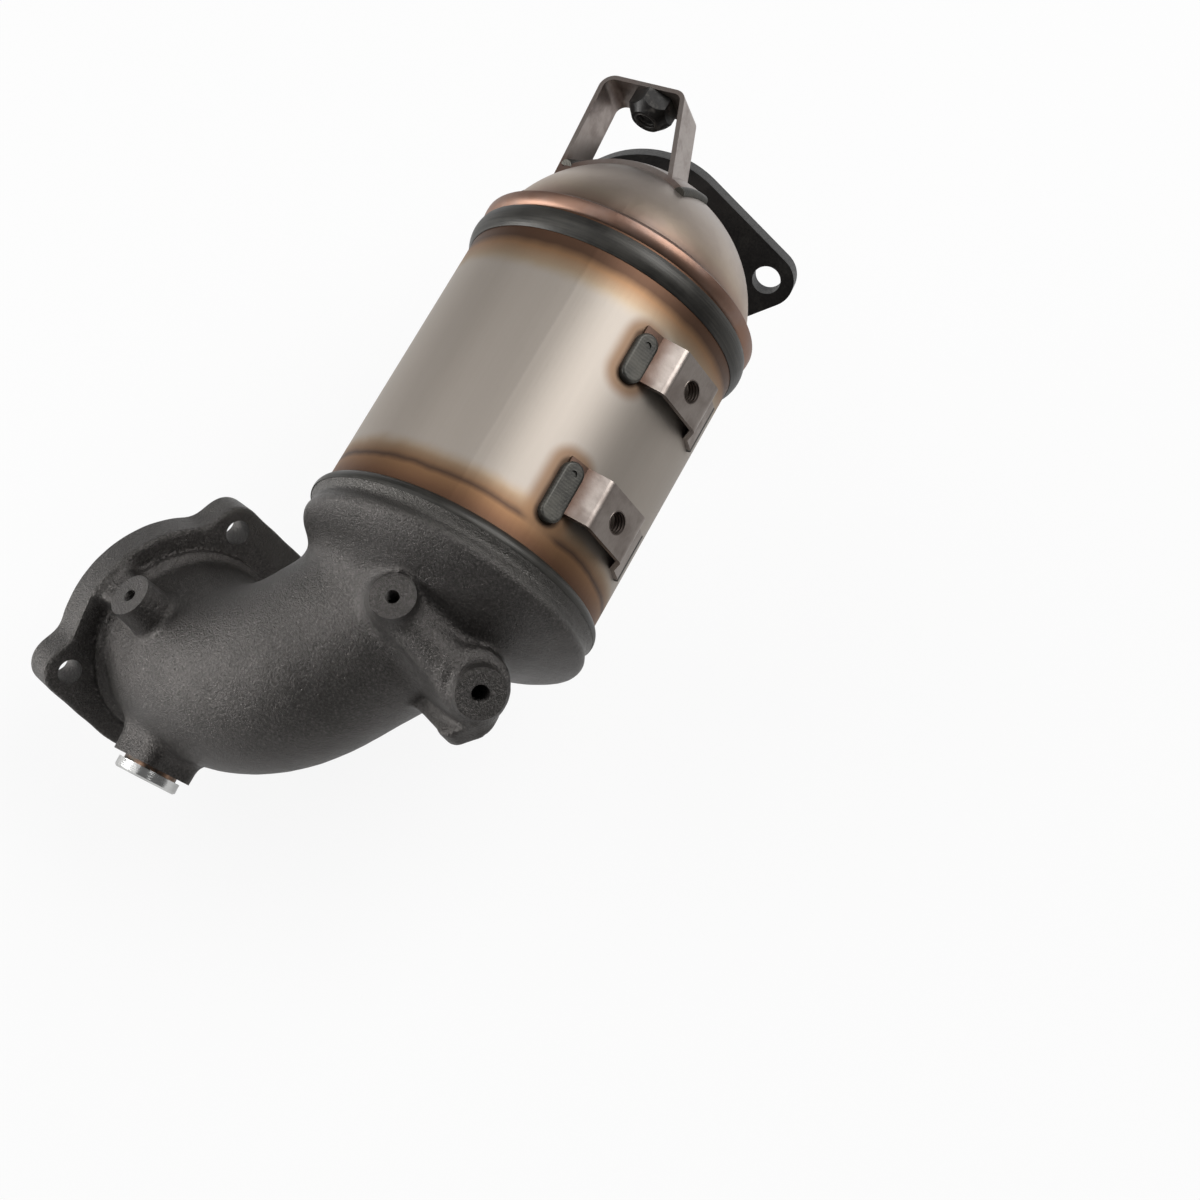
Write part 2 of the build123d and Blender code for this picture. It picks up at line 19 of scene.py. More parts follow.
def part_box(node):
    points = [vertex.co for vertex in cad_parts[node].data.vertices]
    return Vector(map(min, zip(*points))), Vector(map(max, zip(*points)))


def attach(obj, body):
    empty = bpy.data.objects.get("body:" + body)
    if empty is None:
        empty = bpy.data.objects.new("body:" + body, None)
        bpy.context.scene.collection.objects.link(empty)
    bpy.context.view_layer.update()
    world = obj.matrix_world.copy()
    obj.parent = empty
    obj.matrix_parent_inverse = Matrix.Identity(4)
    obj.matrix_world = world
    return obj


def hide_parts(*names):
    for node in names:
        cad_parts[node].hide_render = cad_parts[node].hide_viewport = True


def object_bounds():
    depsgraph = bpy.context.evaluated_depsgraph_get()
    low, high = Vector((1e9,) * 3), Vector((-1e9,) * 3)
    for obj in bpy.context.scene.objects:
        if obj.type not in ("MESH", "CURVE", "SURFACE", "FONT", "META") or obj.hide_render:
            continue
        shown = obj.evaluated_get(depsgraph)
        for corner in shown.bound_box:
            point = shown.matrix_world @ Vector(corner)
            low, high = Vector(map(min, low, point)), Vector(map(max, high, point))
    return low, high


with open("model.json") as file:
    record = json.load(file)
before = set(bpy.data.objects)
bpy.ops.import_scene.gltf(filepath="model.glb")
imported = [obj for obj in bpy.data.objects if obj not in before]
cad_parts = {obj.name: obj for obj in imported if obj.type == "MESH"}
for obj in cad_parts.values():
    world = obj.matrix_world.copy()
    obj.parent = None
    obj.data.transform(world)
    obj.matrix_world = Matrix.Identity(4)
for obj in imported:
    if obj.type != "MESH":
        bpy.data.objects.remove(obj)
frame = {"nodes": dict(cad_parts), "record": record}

CAD_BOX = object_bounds()
LOG = logging.getLogger("converter")
MM = 0.001
TINY = 1e-4           # keeps a divisor away from zero
SAME_WAY = 0.95       # cosine above which two directions count as one
SLOPE_REACH = 0.2     # half step, in millimetres, over which a field's slope is read
LEAST_SLOPE = 0.05    # smallest squared slope that a point is moved by
SETTLE_ROUNDS = 3     # times that a mesh point is moved onto its surface
NO_CREASE = 180.0     # crease angle that leaves every edge smooth

Socket = bpy.types.NodeSocket
Object = bpy.types.Object
Material = bpy.types.Material
Array = np.ndarray
Points = Array
Triple = Tuple[float, float, float]
Colour = Tuple[int, int, int]
Spot = Tuple[float, float]
Link = Tuple[Spot, Spot, float, float]
Field = Callable[[Points], Array]
Stops = Tuple[Tuple[float, Colour], ...]


def from_screen(colour: Colour) -> Triple:
    """Linear colour of an 8-bit screen colour, by the sRGB curve."""
    shares = (channel / 255.0 for channel in colour)
    return tuple(share / 12.92 if share <= 0.04045 else ((share + 0.055) / 1.055) ** 2.4 for share in shares)


class Value:
    """A shader number that Python operators work on, each by one Math node."""

    def __init__(self, sheet: "Sheet", socket: Socket) -> None:
        """Wraps an output socket of the sheet."""
        self.sheet = sheet
        self.socket = socket

    def __add__(self, other: "Number") -> "Value":
        """Sum."""
        return self.sheet.maths("ADD", self, other)

    __radd__ = __add__

    def __sub__(self, other: "Number") -> "Value":
        """Difference."""
        return self.sheet.maths("SUBTRACT", self, other)

    def __rsub__(self, other: "Number") -> "Value":
        """Difference from a plain number."""
        return self.sheet.maths("SUBTRACT", other, self)

    def __mul__(self, other: "Number") -> "Value":
        """Product."""
        return self.sheet.maths("MULTIPLY", self, other)

    __rmul__ = __mul__

    def __pow__(self, other: "Number") -> "Value":
        """Power."""
        return self.sheet.maths("POWER", self, other)

    def larger(self, other: "Number") -> "Value":
        """The larger of the two."""
        return self.sheet.maths("MAXIMUM", self, other)

    def size(self) -> "Value":
        """The number without its sign."""
        return self.sheet.maths("ABSOLUTE", self)

    def wrapped(self) -> "Value":
        """The number's fraction, from 0 to 1."""
        return self.sheet.maths("FRACT", self)


Number = Union[Value, float, int]


class Sheet:
    """One material's node sheet, with a principled surface ready to be fed."""

    def __init__(self, name: str) -> None:
        """Makes the material and finds its surface node.

        Args:
            name: The material's name.
        """
        self.material = bpy.data.materials.new(name)
        self.material.use_nodes = True
        self.tree = self.material.node_tree
        self.surface = next(n for n in self.tree.nodes if n.type == "BSDF_PRINCIPLED")

    def node(self, kind: str, settings: Optional[dict] = None, inputs: Optional[dict] = None) -> bpy.types.Node:
        """Adds a node of any type.

        Args:
            kind: The node's type name.
            settings: Attributes that are set first; "stops" fills a colour ramp.
            inputs: Values or links by socket name or number.

        Returns:
            The new node.
        """
        made = self.tree.nodes.new(kind)
        for name, value in (settings or {}).items():
            if name == "stops":
                ramp = made.color_ramp
                while len(ramp.elements) < len(value):
                    ramp.elements.new(1.0)
                for element, (place, colour) in zip(ramp.elements, value):
                    element.position = place
                    element.color = (*colour, 1.0)
            else:
                setattr(made, name, value)
        for key, value in (inputs or {}).items():
            self.feed(made.inputs[key], value)
        return made

    def feed(self, socket: Socket, value: object) -> None:
        """Links or sets a socket.

        Args:
            socket: The input.
            value: A Value, an output socket, a number or a colour.
        """
        if isinstance(value, Value):
            self.tree.links.new(value.socket, socket)
        elif isinstance(value, Socket):
            self.tree.links.new(value, socket)
        elif isinstance(value, tuple) and socket.type == "RGBA":
            socket.default_value = (*value[:3], 1.0)
        else:
            socket.default_value = value

    def maths(self, operation: str, first: Number, second: Number = 0.0) -> Value:
        """One Math node.

        Args:
            operation: The node's operation.
            first: First number.
            second: Second number.

        Returns:
            Its result.
        """
        made = self.node("ShaderNodeMath", {"operation": operation}, {0: first, 1: second})
        return Value(self, made.outputs[0])

    def place(self) -> Socket:
        """The point's place in the part's frame, in metres."""
        return self.node("ShaderNodeTexCoord").outputs["Object"]

    def joined(self, x: Number, y: Number, z: Number) -> Socket:
        """A vector from three numbers."""
        return self.node("ShaderNodeCombineXYZ", None, {0: x, 1: y, 2: z}).outputs[0]

    def noise(self, scale: float, detail: float = 2.0, rough: float = 0.5, where: Optional[Socket] = None) -> Value:
        """Smooth noise from 0 to 1.

        Args:
            scale: Cells per metre.
            detail: Octaves.
            rough: Weight of the finer octaves.
            where: Where it is read; the point's own place if left out.

        Returns:
            The noise.
        """
        inputs = {"Vector": where or self.place(), "Scale": scale, "Detail": detail, "Roughness": rough}
        return Value(self, self.node("ShaderNodeTexNoise", {"noise_dimensions": "3D"}, inputs).outputs["Fac"])

    def streaks(self, scale: Triple, detail: float = 3.0) -> Value:
        """Noise with its own cells per metre along each axis, stretched along the axis with the fewest."""
        made = self.node("ShaderNodeVectorMath", {"operation": "MULTIPLY"}, {0: self.place(), 1: scale})
        return self.noise(1.0, detail, 0.55, made.outputs[0])

    def specks(self, scale: float) -> Value:
        """Distance to the nearest of scattered points, in cells."""
        made = self.node("ShaderNodeTexVoronoi", {"feature": "F1"}, {"Vector": self.place(), "Scale": scale})
        return Value(self, made.outputs["Distance"])

    def spread(self, value: Number, low: float, high: float, to_low: float = 0.0, to_high: float = 1.0) -> Value:
        """A number carried smoothly from one range to another and held at its ends.

        Args:
            value: The number.
            low: Start of its range.
            high: End of its range.
            to_low: What the start becomes.
            to_high: What the end becomes.

        Returns:
            The carried number.
        """
        made = self.node(
            "ShaderNodeMapRange",
            {"interpolation_type": "SMOOTHSTEP", "clamp": True},
            {"Value": value, "From Min": low, "From Max": high, "To Min": to_low, "To Max": to_high},
        )
        return Value(self, made.outputs["Result"])

    def along(self, origin: Array, way: Array) -> Value:
        """Distance in millimetres from a point along a direction.

        Args:
            origin: The point, in millimetres.
            way: The direction.

        Returns:
            The distance.
        """
        scaled = tuple(float(v) / MM for v in way)
        made = self.node("ShaderNodeVectorMath", {"operation": "DOT_PRODUCT"}, {0: self.place(), 1: scaled})
        return Value(self, made.outputs["Value"]) - float(origin @ way)

    def station(self) -> Value:
        """Millimetres along the can from the casting's joint."""
        return self.along(CAN_START, ALONG)

    def clock(self) -> Value:
        """Clock angle about the can's axis, in degrees."""
        turn = self.maths("ARCTAN2", self.along(CAN_START, clock(90.0)), self.along(CAN_START, clock(0.0)))
        return turn * (180.0 / math.pi)

    def ramp(self, value: Number, stops: Stops) -> Socket:
        """A colour that follows a number through stops, each a number and its colour.

        Args:
            value: The number.
            stops: The stops, rising.

        Returns:
            The colour.
        """
        low, high = stops[0][0], stops[-1][0]
        made = self.node("ShaderNodeMapRange", None, {"Value": value, "From Min": low, "From Max": high})
        places = [((place - low) / (high - low), from_screen(colour)) for place, colour in stops]
        ramp = self.node("ShaderNodeValToRGB", {"stops": places}, {0: Value(self, made.outputs[0])})
        return ramp.outputs[0]

    def thread(self, seat: "Seat", pitch: float = 1.5, reach: float = 4.6) -> Tuple[Value, Value]:
        """Helical grooves in a tapped hole.

        The groove's phase is the height over the pitch plus the turn about the axis.

        Args:
            seat: The hole's mouth.
            pitch: Height of a turn, in millimetres.
            reach: Radius within which a surface counts as the hole's wall.

        Returns:
            Groove height from 0 to 1, and the share of the wall.
        """
        x, y = self.along(seat.origin, seat.across), self.along(seat.origin, seat.over)
        turn = self.maths("ARCTAN2", y, x) * (0.5 / math.pi)
        phase = (self.along(seat.origin, seat.facing) * (1.0 / pitch) + turn).wrapped()
        wall = self.spread((x * x + y * y) ** 0.5, reach, reach + 0.3, 1.0, 0.0)
        return (phase - 0.5).size() * 2.0, wall

    def blend(self, share: Number, first: object, second: object) -> Socket:
        """A colour between two, each a screen colour or a link, by a share from 0 to 1.

        Args:
            share: Share of the second.
            first: First colour.
            second: Second colour.

        Returns:
            The colour.
        """
        made = self.node("ShaderNodeMix", {"data_type": "RGBA"}, {"Factor": share})
        for number, colour in ((6, first), (7, second)):
            self.feed(made.inputs[number], from_screen(colour) if isinstance(colour, tuple) else colour)
        return made.outputs[2]

    def bump(self, height: Number, strength: float, depth: float, under: object = None) -> Socket:
        """A bumped normal.

        Args:
            height: Height from 0 to 1.
            strength: Share of the effect.
            depth: What a height of 1 stands for, in metres.
            under: A normal that lies under this one.

        Returns:
            The normal.
        """
        inputs = {"Strength": strength, "Distance": depth, "Height": height}
        if under is not None:
            inputs["Normal"] = under
        return self.node("ShaderNodeBump", None, inputs).outputs[0]

    def finish(self, colour: object, rough: Number, metal: Number, normal: Optional[Socket] = None) -> Material:
        """Feeds the surface node and returns the material.

        Args:
            colour: A linear colour or a link.
            rough: Roughness.
            metal: Share of metal.
            normal: A bumped normal, if the surface has one.

        Returns:
            The material.
        """
        self.feed(self.surface.inputs["Base Color"], colour)
        self.feed(self.surface.inputs["Roughness"], rough)
        self.feed(self.surface.inputs["Metallic"], metal)
        if normal is not None:
            self.feed(self.surface.inputs["Normal"], normal)
        return self.material


def unit(vector: Sequence[float]) -> Array:
    """A vector's direction."""
    vector = np.asarray(vector, float)
    return vector / np.linalg.norm(vector)


def clock(angle: float) -> Array:
    """Direction square to the can at a clock angle in degrees, from +Z towards +Y."""
    turn = math.radians(angle)
    return np.array([0.0, math.sin(turn), math.cos(turn)])


ALONG = np.array([1.0, 0.0, 0.0])
INLET_TUCK = 11.0
CAN_LOW, CAN_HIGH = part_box("can_shell")
CAN_START = np.array([CAN_LOW.x, (CAN_LOW.y + CAN_HIGH.y) / 2, (CAN_LOW.z + CAN_HIGH.z) / 2]) / MM
CAN_START += ALONG * INLET_TUCK
CAN_RADIUS = (CAN_HIGH.z - CAN_LOW.z) / 2 / MM
ROUND_WAY = math.pi / 180.0 * CAN_RADIUS


def middle_of(node: str) -> Tuple[Array, Array]:
    """The middle of a node's box from the can's start, and its half size, in millimetres."""
    low, high = (np.array(corner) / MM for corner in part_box(node))
    return (low + high) / 2 - CAN_START, (high - low) / 2


def clock_of(offset: Array) -> float:
    """Clock angle in degrees of a place given from the can's start."""
    return math.degrees(math.atan2(offset[1], offset[2]))


@dataclass(frozen=True)
class Seat:
    """A place on the part with three axes: across, over and the way it faces."""

    origin: Array
    across: Array
    facing: Array

    @property
    def over(self) -> Array:
        """Third axis, square to the other two."""
        return np.cross(self.facing, self.across)

    @classmethod
    def of(cls, name: str, across: Optional[Array] = None) -> "Seat":
        """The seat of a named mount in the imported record.

        Args:
            name: The mount's name.
            across: A direction that the seat's first axis should follow.

        Returns:
            The seat.
        """
        mount = next(m for m in frame["record"]["mounts"] if m["name"] == name)
        return cls.facing_way(np.array(mount["pos_m"]) / MM, mount["axis"], across)

    @classmethod
    def facing_way(cls, origin: Array, way: Sequence[float], across: Optional[Array] = None) -> "Seat":
        """A seat from its facing direction, with the first axis made square to it.

        Args:
            origin: The seat's place.
            way: The way it faces.
            across: A direction that the first axis should follow.

        Returns:
            The seat.
        """
        facing = unit(way)
        hint = ALONG if across is None else np.asarray(across, float)
        if abs(facing @ unit(hint)) > SAME_WAY:
            hint = clock(0.0)
        return cls(origin, unit(hint - facing * (hint @ facing)), facing)

    def local(self, points: Points) -> Tuple[Array, Array, Array]:
        """Points in the seat's own three axes."""
        offset = points - self.origin
        return offset @ self.across, offset @ self.over, offset @ self.facing

    def world(self, points: Points) -> Points:
        """Points given in the seat's axes, in the part's frame."""
        return self.origin + points @ np.stack([self.across, self.over, self.facing])


def grid_faces(rows: int, columns: int) -> Array:
    """Quads of a grid of points whose last column joins the first.

    Args:
        rows: Points along the first parameter.
        columns: Points along the second parameter.

    Returns:
        Four point numbers a face.
    """
    first = np.arange(rows - 1)[:, None]
    second = np.arange(columns)[None, :]
    after = (second + 1) % columns
    corners = [first * columns + second, first * columns + after]
    corners += [(first + 1) * columns + after, (first + 1) * columns + second]
    return np.stack(np.broadcast_arrays(*corners), axis=-1).reshape(-1, 4)


def lathe(seat: Seat, radii: Array, heights: Array, columns: int) -> Tuple[Points, List[Sequence[int]]]:
    """A closed solid turned about a seat's facing axis.

    Each row of radii is carried round the axis: a point is the row's height along the axis and its radius
    away from it. A radius may change with the turn, which makes a thread. Both ends get a flat cap.

    Args:
        seat: The axis.
        radii: One radius a row, or one a row and column.
        heights: One height a row, rising.
        columns: Points round the axis.

    Returns:
        Points and faces.
    """
    turns = np.arange(columns) * 2 * np.pi / columns
    spread = np.broadcast_to(radii.reshape(len(heights), -1), (len(heights), columns))
    tall = np.broadcast_to(heights[:, None], spread.shape)
    local = np.stack([spread * np.cos(turns), spread * np.sin(turns), tall], axis=-1).reshape(-1, 3)
    faces = [tuple(f) for f in grid_faces(len(heights), columns).tolist()]
    last = (len(heights) - 1) * columns
    faces.append(tuple(range(columns - 1, -1, -1)))
    faces.append(tuple(range(last, last + columns)))
    return seat.world(local), faces


def shape(name: str, points: Points, faces: Sequence[Sequence[int]], crease: float = 35.0) -> Object:
    """An object from points in millimetres, smooth but for its creases.

    Args:
        name: The object's name.
        points: Its points.
        faces: Its faces.
        crease: Edges that turn by more than these degrees stay sharp.

    Returns:
        The object, at the origin.
    """
    data = bpy.data.meshes.new(name)
    data.from_pydata((np.asarray(points) * MM).tolist(), [], [tuple(f) for f in faces])
    data.update()
    made = bpy.data.objects.new(name, data)
    bpy.context.scene.collection.objects.link(made)
    smooth(made, crease)
    return made


def smooth(made: Object, crease: float) -> None:
    """Shades an object smooth but for edges that turn by more than a crease angle in degrees."""
    made.data.shade_smooth()
    made.data.set_sharp_from_angle(angle=math.radians(crease))


def block(name: str, seat: Seat, half: float, height: float) -> Object:
    """A square block that stands on a seat and cuts whatever lies above it.

    Args:
        name: The block's name.
        seat: Where it stands.
        half: Half its width.
        height: Its height.

    Returns:
        The block.
    """
    square = np.array([[-1, -1], [1, -1], [1, 1], [-1, 1]]) * half
    points = np.array([(x, y, z) for z in (0.0, height) for x, y in square])
    faces = [(3, 2, 1, 0), (4, 5, 6, 7), (0, 1, 5, 4), (1, 2, 6, 5), (2, 3, 7, 6), (3, 0, 4, 7)]
    return shape(name, seat.world(points), faces)


def drum(name: str, seat: Seat, radius: float, start: float, end: float, columns: int = 64) -> Object:
    """A round tool about a seat's axis between two heights."""
    return shape(name, *lathe(seat, np.array([radius, radius]), np.array([start, end]), columns))


def dress(made: Object, *materials: Material) -> None:
    """Gives an object its materials in place of those it has.

    Args:
        made: The object.
        materials: Its materials, by slot.
    """
    made.data.materials.clear()
    for material in materials:
        made.data.materials.append(material)


def cut(made: Object, tools: Sequence[Object]) -> None:
    """Cuts an object with closed tools, applies the cuts and deletes the tools.

    Args:
        made: The object that is cut.
        tools: The tools.
    """
    for tool in tools:
        modifier = made.modifiers.new("cut", "BOOLEAN")
        modifier.operation = "DIFFERENCE"
        modifier.solver = "MANIFOLD"
        modifier.object = tool
        graph = bpy.context.evaluated_depsgraph_get()
        done = bpy.data.meshes.new_from_object(made.evaluated_get(graph))
        made.modifiers.clear()
        old = made.data
        made.data = done
        bpy.data.meshes.remove(old)
        bpy.data.objects.remove(tool)


def union(first: Array, second: Array, blend: float) -> Array:
    """Smooth union of two distances: their minimum, less a parabola where they differ by under the blend."""
    share = np.clip(blend - np.abs(first - second), 0.0, None) / blend
    return np.minimum(first, second) - share * share * blend / 4


def overlap(first: Array, second: Array, blend: float) -> Array:
    """Smooth intersection of two distances."""
    return -union(-first, -second, blend)


def link_distance(
    x: Array, y: Array, start: Sequence[float], end: Sequence[float], radius: float = 0.0, end_radius: float = 0.0
) -> Array:
    """Distance to a link plate, which is two discs joined by straight edges.

    It is the distance to the line between their centres, less a radius that changes evenly along the line.

    Args:
        x: First coordinate.
        y: Second coordinate.
        start: Centre of the first disc.
        end: Centre of the second disc.
        radius: Radius of the first disc.
        end_radius: Radius of the second disc.

    Returns:
        The distance.
    """
    run = np.subtract(end, start)
    share = np.clip(((x - start[0]) * run[0] + (y - start[1]) * run[1]) / max(run @ run, TINY), 0.0, 1.0)
    away = np.hypot(x - start[0] - share * run[0], y - start[1] - share * run[1])
    return away - (radius + share * (end_radius - radius))


def triangle_distance(x: Array, y: Array, corners: Sequence[Sequence[float]]) -> Array:
    """Distance to a triangle whose corners turn anticlockwise: the edges' distances, signed by the inside.

    Args:
        x: First coordinate.
        y: Second coordinate.
        corners: The three corners.

    Returns:
        The distance.
    """
    sides = []
    lines = []
    for start, end in zip(corners, list(corners[1:]) + [corners[0]]):
        run = unit(np.subtract(end, start))
        sides.append((x - start[0]) * run[1] - (y - start[1]) * run[0])
        lines.append(link_distance(x, y, start, end))
    inside = np.maximum.reduce(sides)
    return np.where(inside < 0, inside, np.minimum.reduce(lines))


def crossings(values: Array, cells: Array) -> Points:
    """Mean of the places where a surface crosses the edges of each cell.

    Args:
        values: The field on the grid.
        cells: Lowest corner of each crossed cell, in grid steps.

    Returns:
        One point a cell, in grid steps.
    """
    points = np.zeros((len(cells), 3))
    hits = np.zeros(len(cells))
    for axis in range(3):
        others = [a for a in range(3) if a != axis]
        for corner in np.ndindex(2, 2):
            start = cells.copy()
            start[:, others] += corner
            end = start.copy()
            end[:, axis] += 1
            first, second = values[tuple(start.T)], values[tuple(end.T)]
            hit = (first < 0) != (second < 0)
            place = start.astype(float)
            place[:, axis] += np.where(hit, first / np.where(hit, first - second, 1.0), 0.0)
            points[hit] += place[hit]
            hits[hit] += 1
    return points / hits[:, None]


def quads_round(inside: Array, number_of: Array) -> Array:
    """One quad round each crossed edge of a grid, which joins the four cells there and faces outwards.

    Args:
        inside: Which grid points lie inside the surface.
        number_of: The point number of each cell.

    Returns:
        Four point numbers a quad.
    """
    quads = []
    for axis in range(3):
        order = (axis, (axis + 1) % 3, (axis + 2) % 3)
        front = np.moveaxis(inside, order, (0, 1, 2))
        numbers = np.moveaxis(number_of, order, (0, 1, 2))
        x, y, z = np.argwhere(front[:-1, 1:-1, 1:-1] != front[1:, 1:-1, 1:-1]).T
        quad = np.stack([numbers[x, y + i, z + j] for i, j in ((0, 0), (1, 0), (1, 1), (0, 1))], axis=1)
        quads.append(np.where(front[x, y + 1, z + 1][:, None], quad, quad[:, ::-1]))
    return np.concatenate(quads)


def surface_net(field: Field, low: Array, high: Array, step: float) -> Tuple[Points, Array]:
    """Mesh of the surface where a field is zero.

    The field is read on a grid. Each cell that the surface crosses gets one point, each crossed edge gets one
    quad, and each point then moves onto the surface along the field's slope.

    Args:
        field: Distance to the surface, below zero inside.
        low: Lowest corner of the grid.
        high: Highest corner of the grid.
        step: Cell size.

    Returns:
        Points and quads.
    """
    axes = [np.arange(a, b + step, step) for a, b in zip(low, high)]
    values = np.empty([len(a) for a in axes], np.float32)
    for number, x in enumerate(axes[0]):
        plane = np.stack(np.meshgrid([x], *axes[1:], indexing="ij"), axis=-1).reshape(-1, 3)
        values[number] = field(plane).reshape(values.shape[1:])
    inside = values < 0
    x, y, z = (count - 1 for count in values.shape)
    total = sum(inside[i:i + x, j:j + y, k:k + z].astype(np.uint8) for i, j, k in np.ndindex(2, 2, 2))
    crossed = (total > 0) & (total < 8)
    number_of = np.full(crossed.shape, -1, np.int64)
    number_of[crossed] = np.arange(crossed.sum())
    points = crossings(values, np.argwhere(crossed)) * step + low
    for _ in range(SETTLE_ROUNDS):
        points -= slope(field, points, SLOPE_REACH) * np.clip(field(points), -step, step)[:, None]
    return points, quads_round(inside, number_of)


def slope(field: Field, points: Points, reach: float) -> Points:
    """Slope of a field at points, over the square of its length, by central differences.

    Args:
        field: The field.
        points: Where it is read.
        reach: Half the step of the differences.

    Returns:
        One vector a point.
    """
    steps = np.eye(3) * reach
    rise = np.stack([(field(points + s) - field(points - s)) / (2 * reach) for s in steps], axis=1)
    return rise / np.maximum((rise * rise).sum(axis=1), LEAST_SLOPE)[:, None]


@dataclass
class Elbow:
    """Centre line of the inlet elbow: a straight arm, a bend and a straight drop to the can's axis."""

    plane_clock: float = 126.24
    flange_angle: float = 73.57
    bend_turn: float = 60.0
    bend_radius: float = 62.0
    arm: float = 37.2
    drop: float = 55.1
    overrun: float = 12.0

    def __post_init__(self) -> None:
        """Works out the line's corners in the elbow's plane."""
        self.away = clock(self.plane_clock)
        self.side = np.cross(ALONG, self.away)
        self.out = self.aim(self.flange_angle)
        self.flange_out = self.lift(self.out)
        self.flange_side = np.cross(self.flange_out, self.side) * -1
        self.knee = -self.out * self.arm
        self.centre = self.knee + self.aim(self.flange_angle - 90.0) * self.bend_radius
        self.down = self.aim(self.flange_angle - 180.0 + self.bend_turn)
        start = self.flange_angle + 90.0
        self.foot = self.centre + self.aim(start + self.bend_turn) * self.bend_radius
        self.first_turn = start

    @staticmethod
    def aim(angle: float) -> Array:
        """Unit vector in the elbow's plane at an angle from the can's direction."""
        return np.array([math.cos(math.radians(angle)), math.sin(math.radians(angle))])

    def lift(self, flat: Array) -> Array:
        """A vector of the elbow's plane in the part's frame."""
        return ALONG * flat[0] + self.away * flat[1]

    def flatten(self, points: Points) -> Tuple[Array, Array, Array]:
        """Points in the elbow's plane: along the can, away from it and beside the plane."""
        return points @ ALONG, points @ self.away, points @ self.side

    def distance(self, points: Points, radius: float, lead: float) -> Array:
        """Distance to a pipe round the centre line: the smallest distance to its three stretches, less the radius.

        Args:
            points: Where it is read.
            radius: The pipe's radius.
            lead: How far the arm runs on past the flange's face.

        Returns:
            The distance.
        """
        u, v, w = self.flatten(points)
        arm = link_distance(u, v, self.out * lead, self.knee)
        drop = link_distance(u, v, self.foot, self.foot + self.down * (self.drop + self.overrun))
        du, dv = u - self.centre[0], v - self.centre[1]
        turn = (np.degrees(np.arctan2(dv, du)) - self.first_turn) % 360.0
        bend = np.where(turn < self.bend_turn, np.abs(np.hypot(du, dv) - self.bend_radius), np.inf)
        return np.hypot(np.minimum(np.minimum(arm, drop), bend), w) - radius


@dataclass(frozen=True)
class Thread:
    """A drilled and tapped hole."""

    bore: float
    crest: float
    pitch: float
    depth: float
    rows_a_turn: int = 10
    columns: int = 40
    lead: float = 1.5

    def tool(self, name: str, seat: Seat) -> Object:
        """Solid that cuts the hole.

        Its radius rises from the bore to the crest and back once a pitch, shifted by the turn round the
        axis, so the groove is a helix. It runs on past the face it starts from.

        Args:
            name: The tool's name.
            seat: The hole's mouth.

        Returns:
            The tool.
        """
        rows = int((self.depth + self.lead) / self.pitch * self.rows_a_turn)
        heights = np.linspace(-self.depth, self.lead, rows)
        turns = np.arange(self.columns) / self.columns
        phase = (heights[:, None] / self.pitch - turns[None, :]) % 1.0
        groove = 1.0 - np.abs(2.0 * phase - 1.0)
        held = np.clip((heights + self.depth - self.pitch) / self.pitch, 0.0, 1.0)[:, None]
        radii = self.bore + (self.crest - self.bore) * groove * held
        return shape(name, *lathe(seat, radii, heights, self.columns))


@dataclass(frozen=True)
class Boss:
    """A boss with a milled face: round, or a rounded square where it has a flat."""

    radius: float
    depth: float
    blend: float
    milled: float
    flat: float = 0.0
    draft: float = 0.05
    overrun: float = 1.5
    edge: float = 1.0

    def distance(self, points: Points, seat: Seat) -> Array:
        """Distance to the boss, which widens with its draft and runs on a little past its face.

        Args:
            points: Where it is read.
            seat: Where the form stands.

        Returns:
            The distance.
        """
        x, y, height = seat.local(points)
        wide = np.hypot(*(np.maximum(np.abs(a) - self.flat, 0.0) for a in (x, y))) - self.radius
        wide = wide - self.draft * np.maximum(-height, 0.0)
        return overlap(wide, np.maximum(height - self.overrun, -height - self.depth), self.edge)


@dataclass(frozen=True)
class Plate:
    """A flat form in a seat: links in the seat's plane, between two heights."""

    links: Tuple[Link, ...]
    middle: float
    half: float
    edge: float
    blend: float

    def distance(self, points: Points, seat: Seat) -> Array:
        """Distance to the plate.

        Args:
            points: Where it is read.
            seat: Where the form stands.

        Returns:
            The distance.
        """
        x, y, height = seat.local(points)
        flat = np.minimum.reduce([link_distance(x, y, *link) for link in self.links])
        return overlap(flat, np.abs(height - self.middle) - self.half, self.edge)


@dataclass(frozen=True)
class Rib:
    """A round-backed rib along its seat's first axis, with drafted sides."""

    length: float
    radius: float = 9.3
    draft: float = 0.1
    depth: float = 30.0
    blend: float = 5.0

    def distance(self, points: Points, seat: Seat) -> Array:
        """Distance to the rib.

        Args:
            points: Where it is read.
            seat: Where the form stands.

        Returns:
            The distance.
        """
        x, y, height = seat.local(points)
        beside = link_distance(x, y, (0.0, 0.0), (self.length, 0.0))
        rib = np.hypot(beside, np.maximum(height + self.radius, 0.0)) - self.radius
        rib = rib - self.draft * np.maximum(-height - self.radius, 0.0)
        return np.maximum(rib, -height - self.depth)


